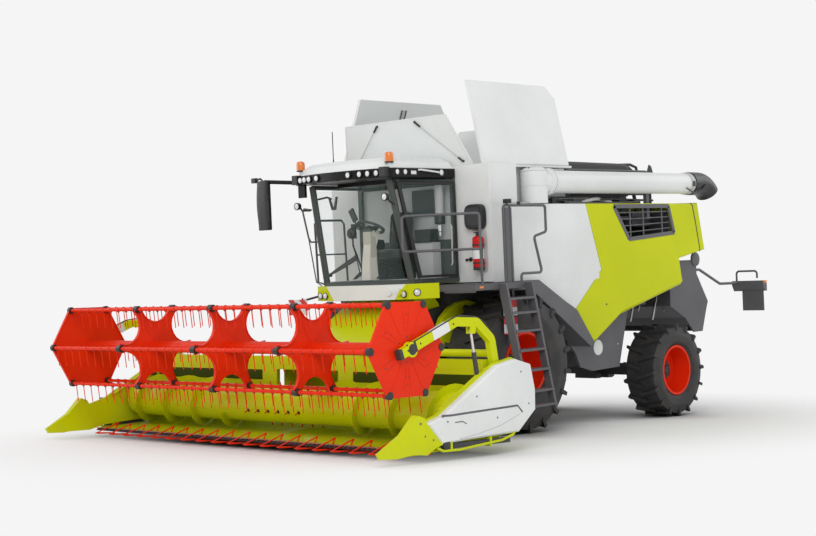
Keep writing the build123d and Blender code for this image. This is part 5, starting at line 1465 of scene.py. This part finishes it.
for name, side, place in sides(at):
    out = LEFT * side
    grille = Piece(f"window_{name}", "dark_paint", grey, f"side_door_{name}")
    for start, end in zip(WINDOW, WINDOW[1:] + WINDOW[:1]):
        grille.band([start, end], 0.03, (1.492, 1.5055), place)
    for y in (2.78, 3.12, 3.62):
        grille.box((1.474, 1.486), (y, y + 0.022), (2.565 + (y - 2.72) * 0.066, 3.05), place)
    grille.use(lime)
    for ends in zip(LOWER_EDGE, LOWER_EDGE[1:]):
        grille.solid(
            [
                [place(1.4995, y, z + 0.002), place(1.4995, y, z + 0.05)]
                + [place(1.468, y, z - 0.038), place(1.463, y, z - 0.038)]
                for y, z in ends
            ]
        )
    grille.use(iron).turned(place(1.4995, 2.08, 1.63), out, [(0, 0.016), (0.004, 0.014)], 16)
    grille.done(smooth=30)

    skin = Piece(f"body_trim_{name}", "grey_paint", white)
    skin.solid(
        [
            [place(1.499, y, z - 0.16), place(1.507, y, z - 0.004)]
            + [place(1.507, y, z), place(1.499, y, z + 0.004)]
            for y, z in ((1.0, 2.112), (1.5, 2.134), (1.93, 2.152))
        ]
    )
    skin.use(black).band(REAR_SEAM, 0.01, (1.4495, 1.4535), place)
    skin.use(grey)
    cover = [(-0.01, 0.115), (0.018, 0.11), (0.026, 0.07), (0.028, 0.0)]
    skin.turned(place(1.3, 4.8, 2.21), out, cover, 32)
    skin.use(white)
    dish = [(0, 0.112), (0.004, 0.112), (0.005, 0.106), (0.005, 0.0)]
    skin.turned(place(1.2995, 2.1, 1.0), out, dish, 40)
    skin.use(pale)
    ring = [(0, 0.106), (0, 0.116), (0.007, 0.114), (0.007, 0.108)]
    skin.hoop(place(1.3, 2.1, 1.0), out, ring, 40)
    for y, z in ((1.45, 1.32), (2.6, 1.02), (2.35, 1.42)):
        skin.bolt(place(1.2995, y, z), out, 0.01)
    skin.use(lime)
    mid_y, mid_z = DOME_MIDDLE
    skin.solid(
        [
            [place(x, mid_y + (y - mid_y) * share, mid_z + (z - mid_z) * share) for y, z in DOME]
            for x, share in ((0.742, 1.0), (0.8, 1.0), (0.818, 0.97), (0.826, 0.9))
        ]
    )
    skin.use(iron)
    for y, z, radius in PULLEYS:
        groove = [(0.06, radius), (0.075, radius), (0.09, radius - 0.02), (0.105, radius)]
        pulley = [(0, 0.05), (0.06, 0.05), *groove, (0.12, radius), (0.122, 0.06), (0.15, 0.05)]
        skin.turned(place(0.735, y, z), out, pulley, 32)
    skin.use(black).band(BELT, 0.008, (0.825, 0.842), place)
    skin.use(steel)
    for points, radius in RODS:
        skin.tube(points, radius, place=place)
    skin.use(grey).box((0.8, 1.05), (3.62, 3.74), (1.55, 2.05), place)
    skin.done(0.002)

# ---------------------------------------------------------------- floor, light, camera
BACKDROP = (0.915, 0.915, 0.915)
FLOOR_REACH = 90
FLOOR_HALVES = (1 / 3.6, 1 / 5.4, 1)


def studio_floor():
    """Pale floor that keeps the shadow, with its colour darkened near the machine as painted
    contact shadow, and fades into the backdrop far out.
    """
    data = bpy.data.meshes.new("studio_floor")
    corners = [(x * FLOOR_REACH, y * FLOOR_REACH, 0) for x, y in SQUARE]
    data.from_pydata(corners, [], [(0, 1, 2, 3)])
    floor = bpy.data.objects.new("studio_floor", data)
    bpy.context.scene.collection.objects.link(floor)
    shader = Shader("studio floor")
    tree = shader.tree
    # Ambient occlusion darkens the floor colour under and around the machine: painted contact
    # shadow
    near = add_node(tree, "AmbientOcclusion", {"Distance": 1.3}, samples=8)
    shader.set(Roughness=0.9, Specular_IOR_Level=0.1)
    shader.colour(shader.span(near.outputs["AO"], 0.15, 0.9, 0.1, 0.94))
    scaled = add_node(tree, "Mapping", {"Vector": shader.place, "Scale": FLOOR_HALVES})
    length = add_node(tree, "VectorMath", {0: scaled.outputs[0]}, operation="LENGTH")
    ends = {"Value": length.outputs["Value"], "From Min": 0.8, "From Max": 1.75}
    fade = add_node(tree, "MapRange", ends, interpolation_type="SMOOTHSTEP")
    glow = add_node(tree, "Emission", {"Color": BACKDROP})
    inputs = {"Fac": fade.outputs["Result"], 1: shader.bsdf.outputs[0], 2: glow.outputs[0]}
    blend = add_node(tree, "MixShader", inputs)
    feed(tree, blend.outputs[0], tree.nodes["Material Output"].inputs["Surface"])
    data.materials.append(shader.mat)


def studio_world(strength):
    """Even light for the object; camera, glossy and transmission rays see the backdrop."""
    world = bpy.data.worlds.new("studio")
    bpy.context.scene.world = world
    world.use_nodes = True
    tree = world.node_tree
    light = tree.nodes["Background"]
    feed(tree, (1, 1, 1), light.inputs["Color"])
    feed(tree, strength, light.inputs["Strength"])
    shown = add_node(tree, "Background", {"Color": BACKDROP})
    path = tree.nodes.new("ShaderNodeLightPath")
    seen = path.outputs["Is Camera Ray"]
    for ray in ("Is Glossy Ray", "Is Transmission Ray"):
        either = {0: seen, 1: path.outputs[ray]}
        seen = add_node(tree, "Math", either, operation="MAXIMUM").outputs[0]
    choose = add_node(tree, "MixShader", {"Fac": seen, 1: light.outputs[0], 2: shown.outputs[0]})
    feed(tree, choose.outputs[0], tree.nodes["World Output"].inputs["Surface"])


def softbox(name, place, target, size, power):
    """A square area lamp aimed at the target."""
    data = bpy.data.lights.new(name, "AREA")
    data.size = size
    data.energy = power
    lamp = bpy.data.objects.new(name, data)
    lamp.location = place
    lamp.rotation_euler = (Vector(target) - Vector(place)).to_track_quat("-Z", "Y").to_euler()
    bpy.context.scene.collection.objects.link(lamp)


CAMERA_RIGHT_OF_AXLE = 14.346
CAMERA_AHEAD_OF_AXLE = 15.896
CAMERA_HEIGHT = 1.696
CAMERA_YAW = radians(43.07)
CAMERA_PITCH = radians(1.54)
CAMERA_ROLL = radians(-0.787)
CAMERA_LENS = 66.6


def studio_camera():
    """Camera at the photograph's viewing angle."""
    data = bpy.data.cameras.new("camera")
    data.lens = CAMERA_LENS
    data.sensor_width = 36.0
    camera = bpy.data.objects.new("camera", data)
    right = Vector((cos(CAMERA_YAW), sin(CAMERA_YAW), 0))
    ahead = Vector((-sin(CAMERA_YAW), cos(CAMERA_YAW), 0)) * cos(CAMERA_PITCH)
    ahead.z = sin(CAMERA_PITCH)
    over = right.cross(ahead)
    right_rolled = right * cos(CAMERA_ROLL) + over * sin(CAMERA_ROLL)
    over_rolled = over * cos(CAMERA_ROLL) - right * sin(CAMERA_ROLL)
    turn = Matrix((right_rolled, over_rolled, -ahead)).transposed().to_4x4()
    place = Vector((CAMERA_RIGHT_OF_AXLE, axle.y - CAMERA_AHEAD_OF_AXLE, CAMERA_HEIGHT))
    camera.matrix_world = Matrix.Translation(place) @ turn
    bpy.context.scene.collection.objects.link(camera)
    bpy.context.scene.camera = camera


bpy.context.scene.view_settings.view_transform = "Standard"
studio_floor()
studio_world(0.6)
softbox("key", (10, -13, 9), (0, 0, 1.2), 8, 900)
softbox("fill", (-12, -9, 7), (0, 0, 1.5), 8, 350)
softbox("rear", (6, 13, 9), (0, 1, 2), 7, 300)
studio_camera()
